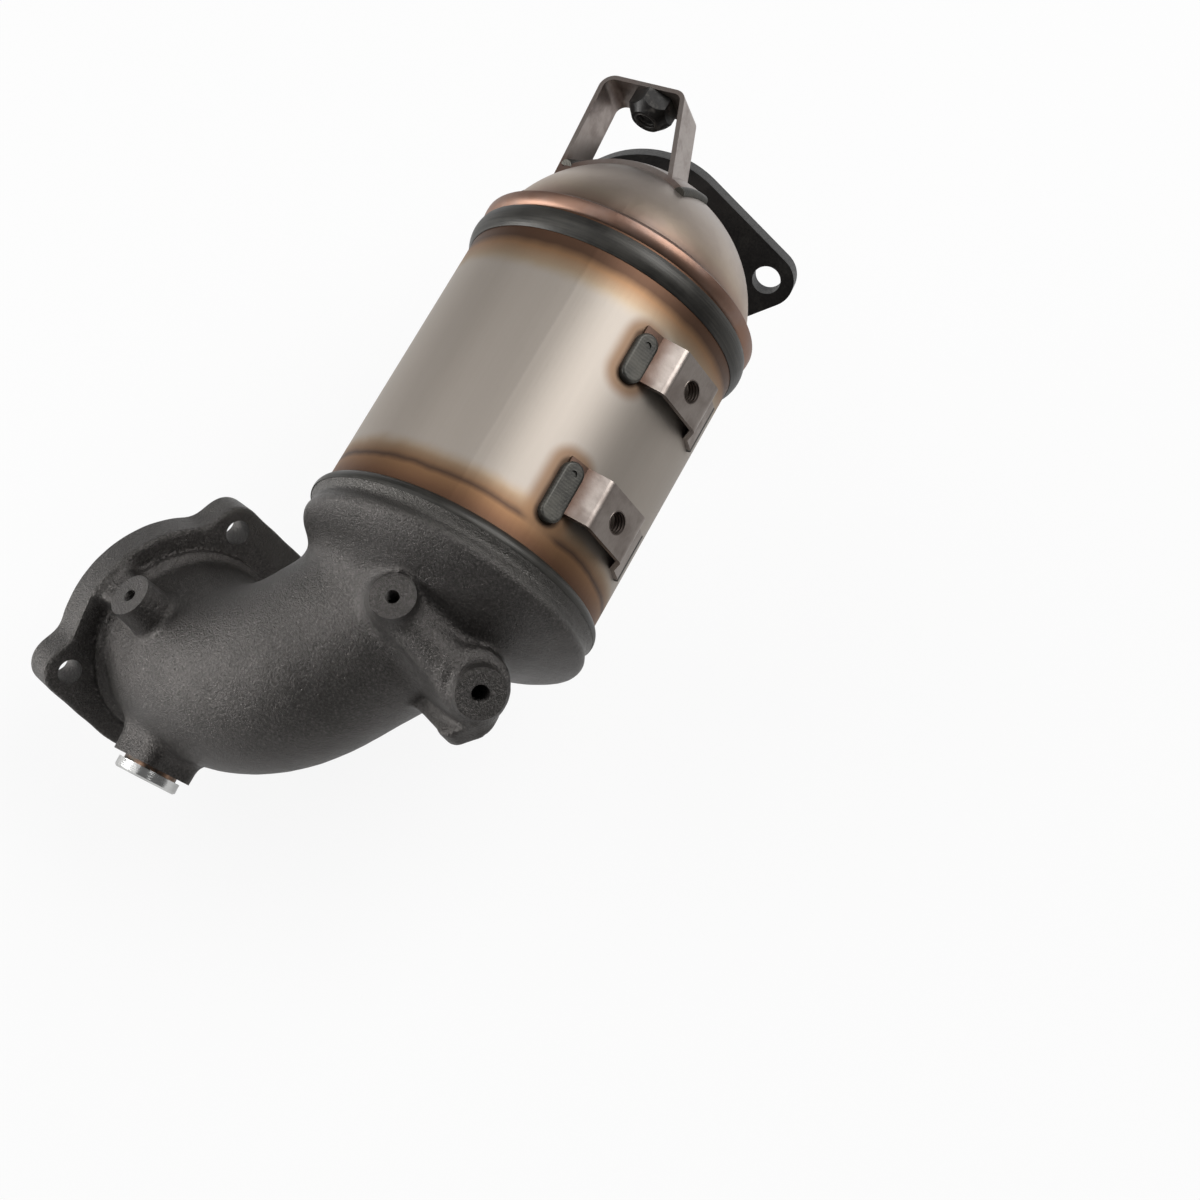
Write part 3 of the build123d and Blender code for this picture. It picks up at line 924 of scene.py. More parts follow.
@dataclass(frozen=True)
class Flange:
    """The three-bolt flange in its seat: its plate with the lobes, and the root ring behind it."""

    thickness: float = 14.0
    edge: float = 1.6
    stock: float = 3.0
    reach: float = 90.0
    face_slack: float = 0.05
    face_level: float = 0.99
    plate_radius: float = 50.3
    hole_circle: float = 51.0
    hole_radius: float = 5.25
    hole_depth: float = 22.0
    hole_turns: Tuple[float, ...] = (0.0, -120.0, 120.0)
    lobe_radius: float = 10.7
    first_hole_turn: float = 19.4
    ear_radius: float = 53.25
    ear_turn: float = 44.8
    tangent_turn: float = 39.0
    neck_blend: float = 8.0
    ring_radius: float = 41.2
    ring_height: float = 3.2
    ring_edge: float = 1.2
    blend: float = 4.5

    @staticmethod
    def spot(radius: float, turn: float) -> Spot:
        """A place in the flange's plane by its radius and its turn in degrees."""
        return radius * math.cos(math.radians(turn)), radius * math.sin(math.radians(turn))

    def outline(self, x: Array, y: Array) -> Array:
        """Distance to the flange's outline: a round plate, three lobes, a fuller corner and straight edges.

        Args:
            x: First coordinate in the seat.
            y: Second coordinate in the seat.

        Returns:
            The distance.
        """
        first, second, third = (self.spot(self.hole_circle, turn) for turn in self.hole_turns)
        plate = np.hypot(x, y) - self.plate_radius
        lobes = [
            union(plate, np.hypot(x - a, y - b) - self.lobe_radius, self.neck_blend) for a, b in (first, second)
        ]
        touch = self.plate_radius - self.lobe_radius
        _, left, right = self.hole_turns
        edges = [
            (second, self.spot(touch, left - self.tangent_turn)),
            (third, self.spot(touch, right + self.tangent_turn)),
        ]
        edges = [link_distance(x, y, a, b, self.lobe_radius, self.lobe_radius) for a, b in edges]
        ear = self.spot(self.ear_radius, self.ear_turn)
        corner = triangle_distance(x, y, [first, ear, third]) - self.lobe_radius
        return np.minimum.reduce([*lobes, *edges, corner])

    def distance(self, points: Points, seat: Seat) -> Array:
        """Distance to the flange plate with its root ring; it runs on past the sealing face.

        Args:
            points: Where it is read.
            seat: Where the flange stands.

        Returns:
            The distance.
        """
        x, y, height = seat.local(points)
        slab = overlap(self.outline(x, y), -height - self.thickness, self.edge)
        back = -height - self.thickness - self.ring_height
        return np.minimum(slab, overlap(np.hypot(x, y) - self.ring_radius, back, self.ring_edge))


@dataclass(frozen=True)
class Bell:
    """A half ellipsoid about the can's axis that goes on as a cylinder towards the can."""

    start: float
    depth: float
    radius: float

    def distance(self, points: Points) -> Array:
        """Distance to the bell: the length of the point scaled by its radii, less one, over its slope.

        Args:
            points: Where it is read.

        Returns:
            The distance.
        """
        offset = points - CAN_START
        away = np.hypot(offset[:, 1], offset[:, 2])
        back = np.minimum(offset[:, 0] - self.start, 0.0)
        length = np.maximum(np.hypot(back / self.depth, away / self.radius), TINY)
        rise = np.hypot(back / self.depth ** 2, away / self.radius ** 2) / length
        return (length - 1.0) / np.maximum(rise, TINY)


@dataclass
class InletCasting:
    """The cast inlet elbow: pipe, bell, flange, bosses, rib and lug, blended as a pattern maker would."""

    elbow: Elbow
    cell: float = 1.32
    margin: float = 4.0
    crease: float = 32.0
    pipe_radius: float = 38.0
    pipe_wall: float = 5.0
    pipe_lead: float = 3.0
    gas_lead: float = 8.0
    collar_end: float = -5.0
    collar_stock: float = 3.0
    collar_reach: float = 70.0
    bell: Bell = Bell(-12.0, 19.5, 62.3)
    hollow: Bell = Bell(-11.0, 15.5, 56.0)
    bell_blend: float = 14.0
    crotch_blend: float = 9.0
    waist: float = 3.4
    waist_start: float = -4.0
    waist_length: float = 8.0
    seat_radius: float = 59.05
    rim_radius: float = 38.0
    rim_fade: float = 14.0
    groove_station: float = -8.6
    groove_width: float = 2.6
    groove_depth: float = 1.5
    ridge_station: float = -15.0
    ridge_width: float = 3.6
    ridge_height: float = 0.8
    flange: Flange = Flange()
    side_boss: Boss = Boss(9.2, 24.0, 2.5, 10.4)
    stay_boss: Boss = Boss(10.1, 26.0, 2.5, 11.5)
    rib_boss: Boss = Boss(9.0, 22.0, 3.0, 9.8)
    sensor_boss: Boss = Boss(6.3, 22.0, 6.0, 19.0, flat=7.5, draft=0.04)
    side_pad: Plate = Plate((((3.0, 0.0), (26.0, 0.0), 6.4, 9.0),), -16.5, 11.5, 3.0, 4.0)
    stay_pad: Plate = Plate((((1.5, 0.0), (1.5, 0.0), 13.8, 13.8),), -20.0, 11.0, 3.0, 5.0)
    lug: Plate = Plate(
        (((-47.0, -17.0), (-59.5, -29.5), 15.0, 7.5), ((-59.5, -29.5), (-56.5, -37.0), 7.5, 6.3)), 0.0, 4.2, 1.6, 4.0
    )
    lug_side: float = -16.2
    small_thread: Thread = Thread(2.5, 3.0, 1.0, 12.0)
    stay_thread: Thread = Thread(3.4, 4.0, 1.25, 18.0)
    rib_sink: float = 2.2
    sensor_tilt: float = 9.4
    sensor_back: float = 42.0
    sensor_out: float = 47.0
    sensor_hole: float = 8.1
    sensor_depth: float = 20.0
    lumps: float = 0.03
    lump_waves: Tuple[Tuple[Triple, float, float], ...] = (
        ((0.41, 0.23, 0.37), 0.0, 1.0),
        ((-0.29, 0.47, 0.19), 1.3, 1.0),
        ((0.61, -0.43, 0.71), 0.4, 0.6),
    )

    def __post_init__(self) -> None:
        """Seats the flange and every form, in the order in which the forms join the pipe."""
        elbow = self.elbow
        turn = math.radians(self.flange.first_hole_turn)
        first = elbow.flange_side * -math.cos(turn) + elbow.side * math.sin(turn)
        self.seat = Seat.facing_way(np.zeros(3), elbow.flange_out, first)
        self.side = Seat.of("side_boss_thread", elbow.flange_out)
        self.rib = Seat.of("rib_boss_thread")
        self.stay = Seat.of("stay_boss_thread")
        run = self.stay.origin - self.rib.origin
        face = unit(np.cross(np.cross(run, unit(self.rib.facing + self.stay.facing)), run))
        crest = Seat.facing_way(self.rib.origin - face * self.rib_sink, face, run)
        tilt = math.radians(self.sensor_tilt)
        radial = elbow.flange_side * math.cos(tilt) - elbow.side * math.sin(tilt)
        way = radial * math.cos(tilt) - elbow.flange_out * math.sin(tilt)
        place = radial * self.sensor_out - elbow.flange_out * self.sensor_back
        self.sensor = Seat.facing_way(place, way, elbow.side)
        self.forms = [
            (self.flange, self.seat),
            (self.side_pad, self.side),
            (self.side_boss, self.side),
            (Rib(float(np.linalg.norm(run))), crest),
            (self.stay_pad, self.stay),
            (self.stay_boss, self.stay),
            (self.rib_boss, self.rib),
            (self.sensor_boss, self.sensor),
            (self.lug, Seat.facing_way(CAN_START + elbow.side * self.lug_side, elbow.side, ALONG)),
        ]

    def skin(self, points: Points) -> Array:
        """Distance to the outside as cast: every form in turn, joined by smooth unions.

        Args:
            points: Where it is read.

        Returns:
            The distance.
        """
        elbow = self.elbow
        offset = points - CAN_START
        station, away = offset[:, 0], np.hypot(offset[:, 1], offset[:, 2])
        bell = self.bell.distance(points)
        rim = np.clip((away - self.rim_radius) / self.rim_fade, 0.0, 1.0)
        groove = self.groove_depth * np.exp(-((station - self.groove_station) / self.groove_width) ** 2)
        ridge = self.ridge_height * np.exp(-((station - self.ridge_station) / self.ridge_width) ** 2)
        inner = np.clip(offset @ elbow.away / np.maximum(away, 1.0), 0.0, 1.0)
        waist = self.waist * inner * np.clip((self.waist_start - station) / self.waist_length, 0.0, 1.0)
        bell = bell + rim * (groove - ridge) + waist
        blend = self.bell_blend + (self.crotch_blend - self.bell_blend) * inner
        body = union(elbow.distance(points, self.pipe_radius, self.pipe_lead), bell, blend)
        for form, seat in self.forms:
            body = union(body, form.distance(points, seat), form.blend)
        for way, phase, share in self.lump_waves:
            body = body + self.lumps * share * np.sin(points @ way + phase)
        return body

    def field(self, points: Points) -> Array:
        """Distance to the casting: its outside, less the gas way, ended a little past the faces that are cut.

        Args:
            points: Where it is read.

        Returns:
            The distance.
        """
        gas = union(
            self.elbow.distance(points, self.pipe_radius - self.pipe_wall, self.gas_lead),
            self.hollow.distance(points),
            self.bell_blend,
        )
        offset = points - CAN_START
        near_can = self.collar_end + self.collar_stock - offset[:, 0]
        beyond = np.maximum(np.hypot(offset[:, 1], offset[:, 2]) - self.collar_reach, near_can)
        face = points @ self.elbow.flange_out - self.flange.stock
        return np.maximum.reduce([self.skin(points), -gas, -beyond, face])

    def tools(self) -> List[Object]:
        """The machining: flat faces, the can's seat, the flange holes and the tapped holes.

        Returns:
            The closed tools, in the order of the cuts.
        """
        clear, high = 4.0, 6.0
        joint = Seat.facing_way(CAN_START, ALONG, clock(0.0))
        made = [
            block("sealing_face", self.seat, self.flange.reach, 3.0 * self.flange.stock),
            drum("collar_face", joint, self.collar_reach, self.collar_end, high),
            drum("can_seat", joint, self.seat_radius, self.hollow.start, high),
            drum("side_face", self.side, self.side_boss.milled, 0.0, clear),
            drum("rib_face", self.rib, self.rib_boss.milled, 0.0, clear),
            drum("stay_face", self.stay, self.stay_boss.milled, 0.0, clear),
            drum("sensor_face", self.sensor, self.sensor_boss.milled, 0.0, clear),
            drum("sensor_hole", self.sensor, self.sensor_hole, -self.sensor_depth, 2.0),
        ]
        for turn in self.flange.hole_turns:
            centre = self.seat.world(np.array([*self.flange.spot(self.flange.hole_circle, turn), 0.0]))
            hole = Seat(centre, self.seat.across, self.seat.facing)
            made.append(drum("stud_hole", hole, self.flange.hole_radius, -self.flange.hole_depth, clear))
        made.append(self.small_thread.tool("side_thread", self.side))
        made.append(self.small_thread.tool("rib_thread", self.rib))
        made.append(self.stay_thread.tool("stay_thread", self.stay))
        return made

    def build(self, cast: Material, faced: Material) -> Object:
        """Makes the casting in place of its plain node.

        Args:
            cast: Finish of the sand-cast skin.
            faced: Finish of the machined sealing face.

        Returns:
            The piece.
        """
        low, high = (np.array(c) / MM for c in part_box("inlet_elbow"))
        points, quads = surface_net(self.field, low - self.margin, high + self.margin, self.cell)
        made = shape("inlet_casting", points, quads.tolist(), NO_CREASE)
        cut(made, self.tools())
        smooth(made, self.crease)
        dress(made, cast, faced)
        count = len(made.data.polygons)
        centres, normals = np.empty(count * 3), np.empty(count * 3)
        made.data.polygons.foreach_get("center", centres)
        made.data.polygons.foreach_get("normal", normals)
        height = centres.reshape(-1, 3) / MM @ self.elbow.flange_out
        level = normals.reshape(-1, 3) @ self.elbow.flange_out
        faced_ones = (height > -self.flange.face_slack) & (level > self.flange.face_level)
        made.data.polygons.foreach_set("material_index", faced_ones.astype(np.int32))
        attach(made, "root")
        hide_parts("inlet_elbow")
        LOG.info("inlet casting: %d faces", count)
        return made


@dataclass(frozen=True)
class Lamp:
    """A square soft lamp; its place and side are metres, its power watts."""

    name: str
    place: Triple
    side: float
    power: float

    def build(self) -> None:
        """Hangs the lamp and points it at the part's middle."""
        data = bpy.data.lights.new(self.name, "AREA")
        data.shape = "SQUARE"
        data.size = self.side
        data.energy = self.power
        made = bpy.data.objects.new(self.name, data)
        middle = (CAD_BOX[0] + CAD_BOX[1]) / 2
        made.location = self.place
        made.rotation_euler = (middle - Vector(self.place)).to_track_quat("-Z", "Y").to_euler()
        bpy.context.scene.collection.objects.link(made)


@dataclass(frozen=True)
class Studio:
    """Pale floor, soft lamps and the camera."""

    eye: Triple = (-266.6, -341.3, 1039.2)
    right: Triple = (0.46431, -0.88567, 0.0)
    up: Triple = (0.82427, 0.43212, 0.36585)
    field_of_view: float = 25.31
    sensor: float = 36.0
    seen: Spot = (0.05, 20.0)
    lamps: Tuple[Lamp, ...] = (
        Lamp("key_lamp", (0.85, -0.70, 1.27), 1.0, 20.0),
        Lamp("side_lamp", (0.13, 0.95, 1.22), 1.2, 7.0),
        Lamp("low_lamp", (-0.66, 1.20, 0.30), 0.8, 20.0),
    )
    floor_gap: float = 1.0
    floor_size: float = 4000.0
    floor_colour: Triple = (0.74, 0.74, 0.74)
    floor_rough: float = 0.9
    floor_seen: float = 0.9
    floor_mirrored: float = 0.3
    white: Triple = (1.0, 1.0, 1.0)
    world_strength: float = 0.15

    def camera(self) -> None:
        """Places the camera where the photograph was taken."""
        data = bpy.data.cameras.new("camera")
        data.sensor_width = self.sensor
        data.lens = self.sensor / 2 / math.tan(math.radians(self.field_of_view / 2))
        data.clip_start, data.clip_end = self.seen
        made = bpy.data.objects.new("camera", data)
        turn = Matrix((self.right, self.up, np.cross(self.right, self.up))).transposed().to_4x4()
        made.matrix_world = Matrix.Translation(Vector(self.eye) * MM) @ turn
        bpy.context.scene.collection.objects.link(made)
        bpy.context.scene.camera = made

    def floor(self) -> None:
        """A pale floor just under the part; it glows where the eye or a mirror sees it, so it stays white."""
        half = self.floor_size / 2 * MM
        low = CAD_BOX[0].z - self.floor_gap * MM
        data = bpy.data.meshes.new("floor")
        corners = [(x * half, y * half, low) for x, y in ((-1, -1), (1, -1), (1, 1), (-1, 1))]
        data.from_pydata(corners, [], [(0, 1, 2, 3)])
        made = bpy.data.objects.new("floor", data)
        bpy.context.scene.collection.objects.link(made)
        sheet = Sheet("floor_paint")
        seen = sheet.node("ShaderNodeLightPath")
        share = Value(sheet, seen.outputs["Is Camera Ray"]) * self.floor_seen
        share = share + Value(sheet, seen.outputs["Is Glossy Ray"]) * self.floor_mirrored
        glow = sheet.node("ShaderNodeEmission", None, {"Color": self.white, "Strength": 1.0})
        mixed = sheet.node("ShaderNodeMixShader", None, {0: share, 1: sheet.surface.outputs[0], 2: glow.outputs[0]})
        output = next(n for n in sheet.tree.nodes if n.type == "OUTPUT_MATERIAL")
        sheet.feed(output.inputs[0], mixed.outputs[0])
        data.materials.append(sheet.finish(self.floor_colour, self.floor_rough, 0.0))

    def world(self) -> None:
        """Even pale light from all round."""
        world = bpy.data.worlds.new("studio")
        world.use_nodes = True
        ground = world.node_tree.nodes["Background"]
        ground.inputs["Color"].default_value = (*self.white, 1.0)
        ground.inputs["Strength"].default_value = self.world_strength
        bpy.context.scene.world = world

    def build(self) -> None:
        """Sets the whole studio up."""
        self.camera()
        for lamp in self.lamps:
            lamp.build()
        self.floor()
        self.world()
        bpy.context.scene.view_settings.view_transform = "Standard"


@dataclass(frozen=True)
class Finish:
    """A procedural finish with a name of its own."""

    name: str

    def material(self) -> Material:
        """Paints the finish on a fresh sheet and returns its material."""
        return self.paint(Sheet(self.name))

    def paint(self, sheet: Sheet) -> Material:
        """Fills the sheet; each finish has its own way."""
        raise NotImplementedError


@dataclass(frozen=True)
class CastIron(Finish):
    """Heat-darkened sand casting with a smoother rim beside the can's weld."""

    dark: Colour = (66, 64, 62)
    light: Colour = (88, 85, 83)
    fleck: Colour = (140, 136, 132)
    rim: Colour = (82, 80, 77)
    rim_stations: Spot = (-15.0, -11.5)
    grain_depth: float = 0.0009
    wave_depth: float = 0.0002

    def paint(self, sheet: Sheet) -> Material:
        """Sand grain in two sizes, soft patches, pale flecks and a band of rim.

        Args:
            sheet: The sheet that is painted.

        Returns:
            The material.
        """
        patches = sheet.noise(28.0, 4.0, 0.6)
        fine = sheet.noise(2300.0, 2.0, 0.6)
        sand = sheet.noise(900.0, 3.0, 0.65)
        pits = sheet.spread(sheet.specks(420.0), 0.04, 0.22)
        station = sheet.station() + (sheet.noise(60.0) - 0.5) * 3.0
        rim = sheet.spread(station, *self.rim_stations)
        tone = sheet.spread(patches * 0.3 + sand * 0.7, 0.36, 0.66)
        flecks = sheet.spread(fine * 0.6 + sand * 0.4, 0.54, 0.7) * (1.0 - rim * 0.8)
        colour = sheet.blend(tone, self.dark, self.light)
        colour = sheet.blend(flecks * 0.45, colour, self.fleck)
        colour = sheet.blend(rim * 0.7, colour, self.rim)
        grain = sheet.bump(sand * 0.45 + fine * 0.35 + pits * 0.2, 1.0, self.grain_depth)
        waves = sheet.bump(sheet.noise(130.0), 1.0, self.wave_depth, grain)
        return sheet.finish(colour, sheet.spread(sand, 0.3, 0.7, 0.33, 0.46) - rim * 0.03, 0.85, waves)


@dataclass(frozen=True)
class FacedIron(Finish):
    """Sealing face turned on a lathe."""

    bright: Colour = (168, 165, 160)
    stain: Colour = (112, 104, 96)

    def paint(self, sheet: Sheet) -> Material:
        """Rings about the flange's centre, with a few stains.

        Args:
            sheet: The sheet that is painted.

        Returns:
            The material.
        """
        x, y, z = (sheet.along(np.zeros(3), axis) for axis in np.eye(3))
        radius = (x * x + y * y + z * z) ** 0.5
        rings = sheet.noise(3.2, 3.0, 0.6, sheet.joined(radius, 0.0, 0.0))
        stains = sheet.spread(sheet.noise(55.0, 4.0), 0.5, 0.72)
        colour = sheet.blend(rings, self.bright, self.stain)
        colour = sheet.blend(stains * 0.7, colour, self.stain)
        return sheet.finish(colour, 0.28 + stains * 0.25, 1.0, sheet.bump(rings, 0.4, 0.00015))


@dataclass(frozen=True)
class RolledSteel(Finish):
    """Satin stainless can, tinted by the heat of its welds."""

    steel: Colour = (169, 161, 153)
    shade: Colour = (158, 150, 141)
    halo: Colour = (124, 97, 74)
    scorch: Colour = (70, 56, 46)
    pad_width: float = 1.0
    pad_corner: float = 3.5
    inlet: Stops = (
        (-3.0, (72, 55, 46)),
        (2.5, (104, 77, 59)),
        (7.0, (126, 96, 71)),
        (9.2, (80, 63, 53)),
        (11.2, (122, 97, 76)),
        (15.5, (148, 129, 108)),
        (24.0, (166, 158, 150)),
    )
    outlet: Stops = (
        (96.0, (166, 158, 150)),
        (104.0, (154, 138, 118)),
        (110.5, (136, 106, 80)),
        (113.8, (84, 64, 52)),
        (119.0, (94, 70, 56)),
    )

    def pad_distance(self, sheet: Sheet, node: str) -> Value:
        """Millimetres on the can from a weld pad's edge, the pad taken as a block in station and clock.

        Args:
            sheet: The sheet that is painted.
            node: The weld's node.

        Returns:
            The distance.
        """
        middle, half = middle_of(node)
        round_way = (sheet.clock() - clock_of(middle)) * ROUND_WAY
        over = ((sheet.station() - float(middle[0])).size() - (float(half[0]) - self.pad_corner)).larger(0.0)
        wide = (round_way.size() - self.pad_width).larger(0.0)
        return (over * over + wide * wide) ** 0.5 - self.pad_corner

    def paint(self, sheet: Sheet) -> Material:
        """Rolling streaks, heat bands at both ends and halos round the bracket welds.

        Args:
            sheet: The sheet that is painted.

        Returns:
            The material.
        """
        streaks = sheet.streaks((9.0, 900.0, 900.0))
        broad = sheet.streaks((16.0, 55.0, 55.0))
        wander = (sheet.noise(24.0, 3.0) - 0.5) * 9.0 + (sheet.noise(130.0) - 0.5) * 2.0
        station = sheet.station()
        near = sheet.spread(station + wander, 20.0, 13.0)
        far = sheet.spread(station + wander, 99.0, 106.0)
        colour = sheet.blend(streaks * 0.55 + broad * 0.45, self.shade, self.steel)
        colour = sheet.blend(near, colour, sheet.ramp(station + wander * 0.6, self.inlet))
        colour = sheet.blend(far, colour, sheet.ramp(station + wander * 0.4, self.outlet))
        for node in ("upper_bracket_weld", "lower_bracket_weld"):
            reach = self.pad_distance(sheet, node) + wander * 0.25
            colour = sheet.blend(sheet.spread(reach, 8.0, 2.5) * 0.85, colour, self.halo)
            colour = sheet.blend(sheet.spread(reach, 2.2, 0.2) * 0.9, colour, self.scorch)
        rough = 0.53 + streaks * 0.05 - near.larger(far) * 0.04
        return sheet.finish(colour, rough, 1.0, sheet.bump(streaks, 0.35, 0.00008))


@dataclass(frozen=True)
class DomeSteel(Finish):
    """Pressed outlet end: heat colours run from its weld to the plain steel of the dome."""

    blush: Colour = (158, 144, 139)
    stops: Stops = (
        (125.0, (108, 84, 72)),
        (130.0, (140, 110, 94)),
        (134.0, (134, 106, 92)),
        (137.0, (116, 98, 90)),
        (140.0, (158, 136, 121)),
        (145.0, (176, 160, 144)),
        (153.0, (186, 174, 163)),
        (166.0, (180, 172, 166)),
    )

    def paint(self, sheet: Sheet) -> Material:
        """Heat bands by station, drawn marks of the press and fine scratches.

        Args:
            sheet: The sheet that is painted.

        Returns:
            The material.
        """
        wander = (sheet.noise(34.0, 3.0) - 0.5) * 4.0
        drawn = sheet.streaks((60.0, 500.0, 500.0))
        smear = sheet.spread(sheet.noise(42.0, 4.0, 0.6), 0.42, 0.72)
        colour = sheet.ramp(sheet.station() + wander, self.stops)
        colour = sheet.blend(smear * 0.4, colour, self.blush)
        dents = sheet.bump(sheet.noise(70.0), 0.4, 0.0004)
        return sheet.finish(colour, 0.4 + drawn * 0.06 + smear * 0.08, 1.0, sheet.bump(drawn, 0.35, 0.00008, dents))


class Lay(Enum):
    """Which way a bead was laid."""

    ROUND = "round the can"
    ALONG = "along the can"


@dataclass(frozen=True)
class WeldSkin(Finish):
    """Weld bead under a dark oxide skin, laid in ripples along its run."""

    dark: Colour = (54, 53, 50)
    light: Colour = (92, 90, 84)
    ripples: float = 1.3
    lay: Lay = Lay.ALONG
    metal: float = 0.6

    def paint(self, sheet: Sheet) -> Material:
        """Ripples the way the bead was laid, with oxide patches.

        Args:
            sheet: The sheet that is painted.

        Returns:
            The material.
        """
        run = sheet.clock() * ROUND_WAY if self.lay is Lay.ROUND else sheet.station()
        run = run + (sheet.noise(260.0) - 0.5) * 1.4
        wave = ((run * (1.0 / self.ripples)).wrapped() - 0.5).size() * 2.0
        patches = sheet.noise(90.0, 4.0, 0.6)
        fine = sheet.noise(1500.0)
        colour = sheet.blend(sheet.spread(patches * 0.88 + wave * 0.12, 0.3, 0.75), self.dark, self.light)
        rough = sheet.spread(patches, 0.3, 0.7, 0.36, 0.55)
        height = wave * 0.02 + fine * 0.35 + patches * 0.63
        return sheet.finish(colour, rough, self.metal, sheet.bump(height, 0.7, 0.00025))


@dataclass(frozen=True)
class RingBand(Finish):
    """Smooth sized band that the can's end and its weld make, dark and faintly streaked round."""

    dark: Colour = (44, 43, 41)
    light: Colour = (67, 65, 61)

    def paint(self, sheet: Sheet) -> Material:
        """Streaks that run round the can, under scattered spatter.

        Args:
            sheet: The sheet that is painted.

        Returns:
            The material.
        """
        streaks = sheet.streaks((1500.0, 40.0, 40.0))
        patches = sheet.noise(60.0, 4.0, 0.6)
        specks = sheet.spread(sheet.specks(260.0), 0.1, 0.03)
        colour = sheet.blend(sheet.spread(streaks * 0.5 + patches * 0.5, 0.3, 0.7), self.dark, self.light)
        rough = sheet.spread(patches, 0.3, 0.7, 0.36, 0.5)
        return sheet.finish(colour, rough, 0.6, sheet.bump(streaks * 0.5 + specks * 0.5, 0.5, 0.0002))


@dataclass(frozen=True)
class BracketSteel(Finish):
    """Pressed strip, brown beside its weld, with a tapped hole."""

    hole: str
    weld: str
    steel: Colour = (154, 146, 140)
    shade: Colour = (120, 110, 104)
    brown: Colour = (88, 70, 61)
    # painted shade: the tapped hole's wall, darkest at the roots of its grooves
    bore: Colour = (84, 76, 70)

    def paint(self, sheet: Sheet) -> Material:
        """Brushed strip, a brown root by clock angle, and helical grooves in the hole with painted shade, darkest at
        their roots.

        Args:
            sheet: The sheet that is painted.

        Returns:
            The material.
        """
        middle, _ = middle_of(self.weld)
        reach = (sheet.clock() - clock_of(middle)).size() * ROUND_WAY
        reach = reach + (sheet.noise(120.0, 3.0) - 0.5) * 5.0
        streaks = sheet.streaks((500.0, 120.0, 1400.0))
        smear = sheet.spread(sheet.noise(90.0, 4.0), 0.4, 0.7)
        groove, wall = sheet.thread(Seat.of(self.hole))
        colour = sheet.blend(streaks * 0.5 + smear * 0.5, self.steel, self.shade)
        colour = sheet.blend(sheet.spread(reach, 11.5, 4.0), colour, self.brown)
        # painted shade in the tapped hole: its wall darker than the strip, darkest at the groove roots
        colour = sheet.blend(wall, colour, sheet.blend(groove, self.bore, self.shade))
        height = streaks * (1.0 - wall) * 0.12 + groove * wall
        return sheet.finish(colour, 0.4 + smear * 0.12, 1.0, sheet.bump(height, 0.8, 0.0005))


@dataclass(frozen=True)
class StrapSteel(Finish):
    """Light brushed strip of the hanger, its feet darkened by the welds."""

    steel: Colour = (164, 155, 149)
    shade: Colour = (122, 109, 104)
    brown: Colour = (104, 80, 69)

    def paint(self, sheet: Sheet) -> Material:
        """Brush lines along the strip, soft stains, and brown towards the dome.

        Args:
            sheet: The sheet that is painted.

        Returns:
            The material.
        """
        lines = sheet.streaks((240.0, 1500.0, 500.0))
        stains = sheet.spread(sheet.noise(75.0, 4.0, 0.6), 0.42, 0.7)
        foot = np.array(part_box("hanger_strap")[0]) / MM
        rise = sheet.along(foot, ALONG) + (sheet.noise(90.0, 3.0) - 0.5) * 6.0
        colour = sheet.blend(lines * 0.45 + stains * 0.55, self.steel, self.shade)
        colour = sheet.blend(sheet.spread(rise, 16.0, 5.0) * 0.75, colour, self.brown)
        return sheet.finish(colour, 0.3 + lines * 0.1 + stains * 0.1, 1.0, sheet.bump(lines, 0.4, 0.0001))


@dataclass(frozen=True)
class BlackPlate(Finish):
    """Black flange plate with a paler sheared edge."""

    face: Colour = (22, 21, 21)
    worn: Colour = (42, 41, 39)
    edge: Colour = (54, 53, 52)

    def paint(self, sheet: Sheet) -> Material:
        """Oxide on the faces by their height along the pipe, shear lines between them.

        Args:
            sheet: The sheet that is painted.

        Returns:
            The material.
        """
        seat = Seat.of("outlet_bolts")
        centre = middle_of("outlet_flange")[0] + CAN_START
        half = abs(float((seat.origin - centre) @ seat.facing))
        sheared = sheet.spread(sheet.along(centre, seat.facing).size(), half - 1.0, half - 1.8)
        patches = sheet.noise(110.0, 4.0, 0.6)
        fine = sheet.noise(1300.0, 3.0)
        colour = sheet.blend(sheet.spread(patches * 0.6 + fine * 0.4, 0.42, 0.72), self.face, self.worn)
        colour = sheet.blend(sheared * sheet.spread(fine, 0.25, 0.55, 0.6, 1.0), colour, self.edge)
        return sheet.finish(colour, sheet.spread(fine, 0.3, 0.7, 0.42, 0.6), 0.4, sheet.bump(fine, 0.5, 0.0002))


@dataclass(frozen=True)
class BlackNut(Finish):
    """Black weld nut with its thread."""

    face: Colour = (30, 29, 28)
    # the worn patches on the flanks, and the painted highlight on the thread crests in the hole
    worn: Colour = (86, 83, 80)

    def paint(self, sheet: Sheet) -> Material:
        """Worn patches on the flanks, and helical grooves in the hole with a painted highlight on their crests.

        Args:
            sheet: The sheet that is painted.

        Returns:
            The material.
        """
        groove, wall = sheet.thread(Seat.of("hanger_thread"))
        patches = sheet.noise(160.0, 4.0, 0.65)
        colour = sheet.blend(sheet.spread(patches, 0.52, 0.74), self.face, self.worn)
        # painted highlight: the thread crests in the hole take the pale colour, the roots keep the dark face
        colour = sheet.blend(wall * groove, colour, self.worn)
        height = sheet.noise(1400.0) * (1.0 - wall) * 0.15 + groove * wall
        return sheet.finish(colour, sheet.spread(patches, 0.3, 0.7, 0.32, 0.5), 0.7, sheet.bump(height, 0.8, 0.0005))


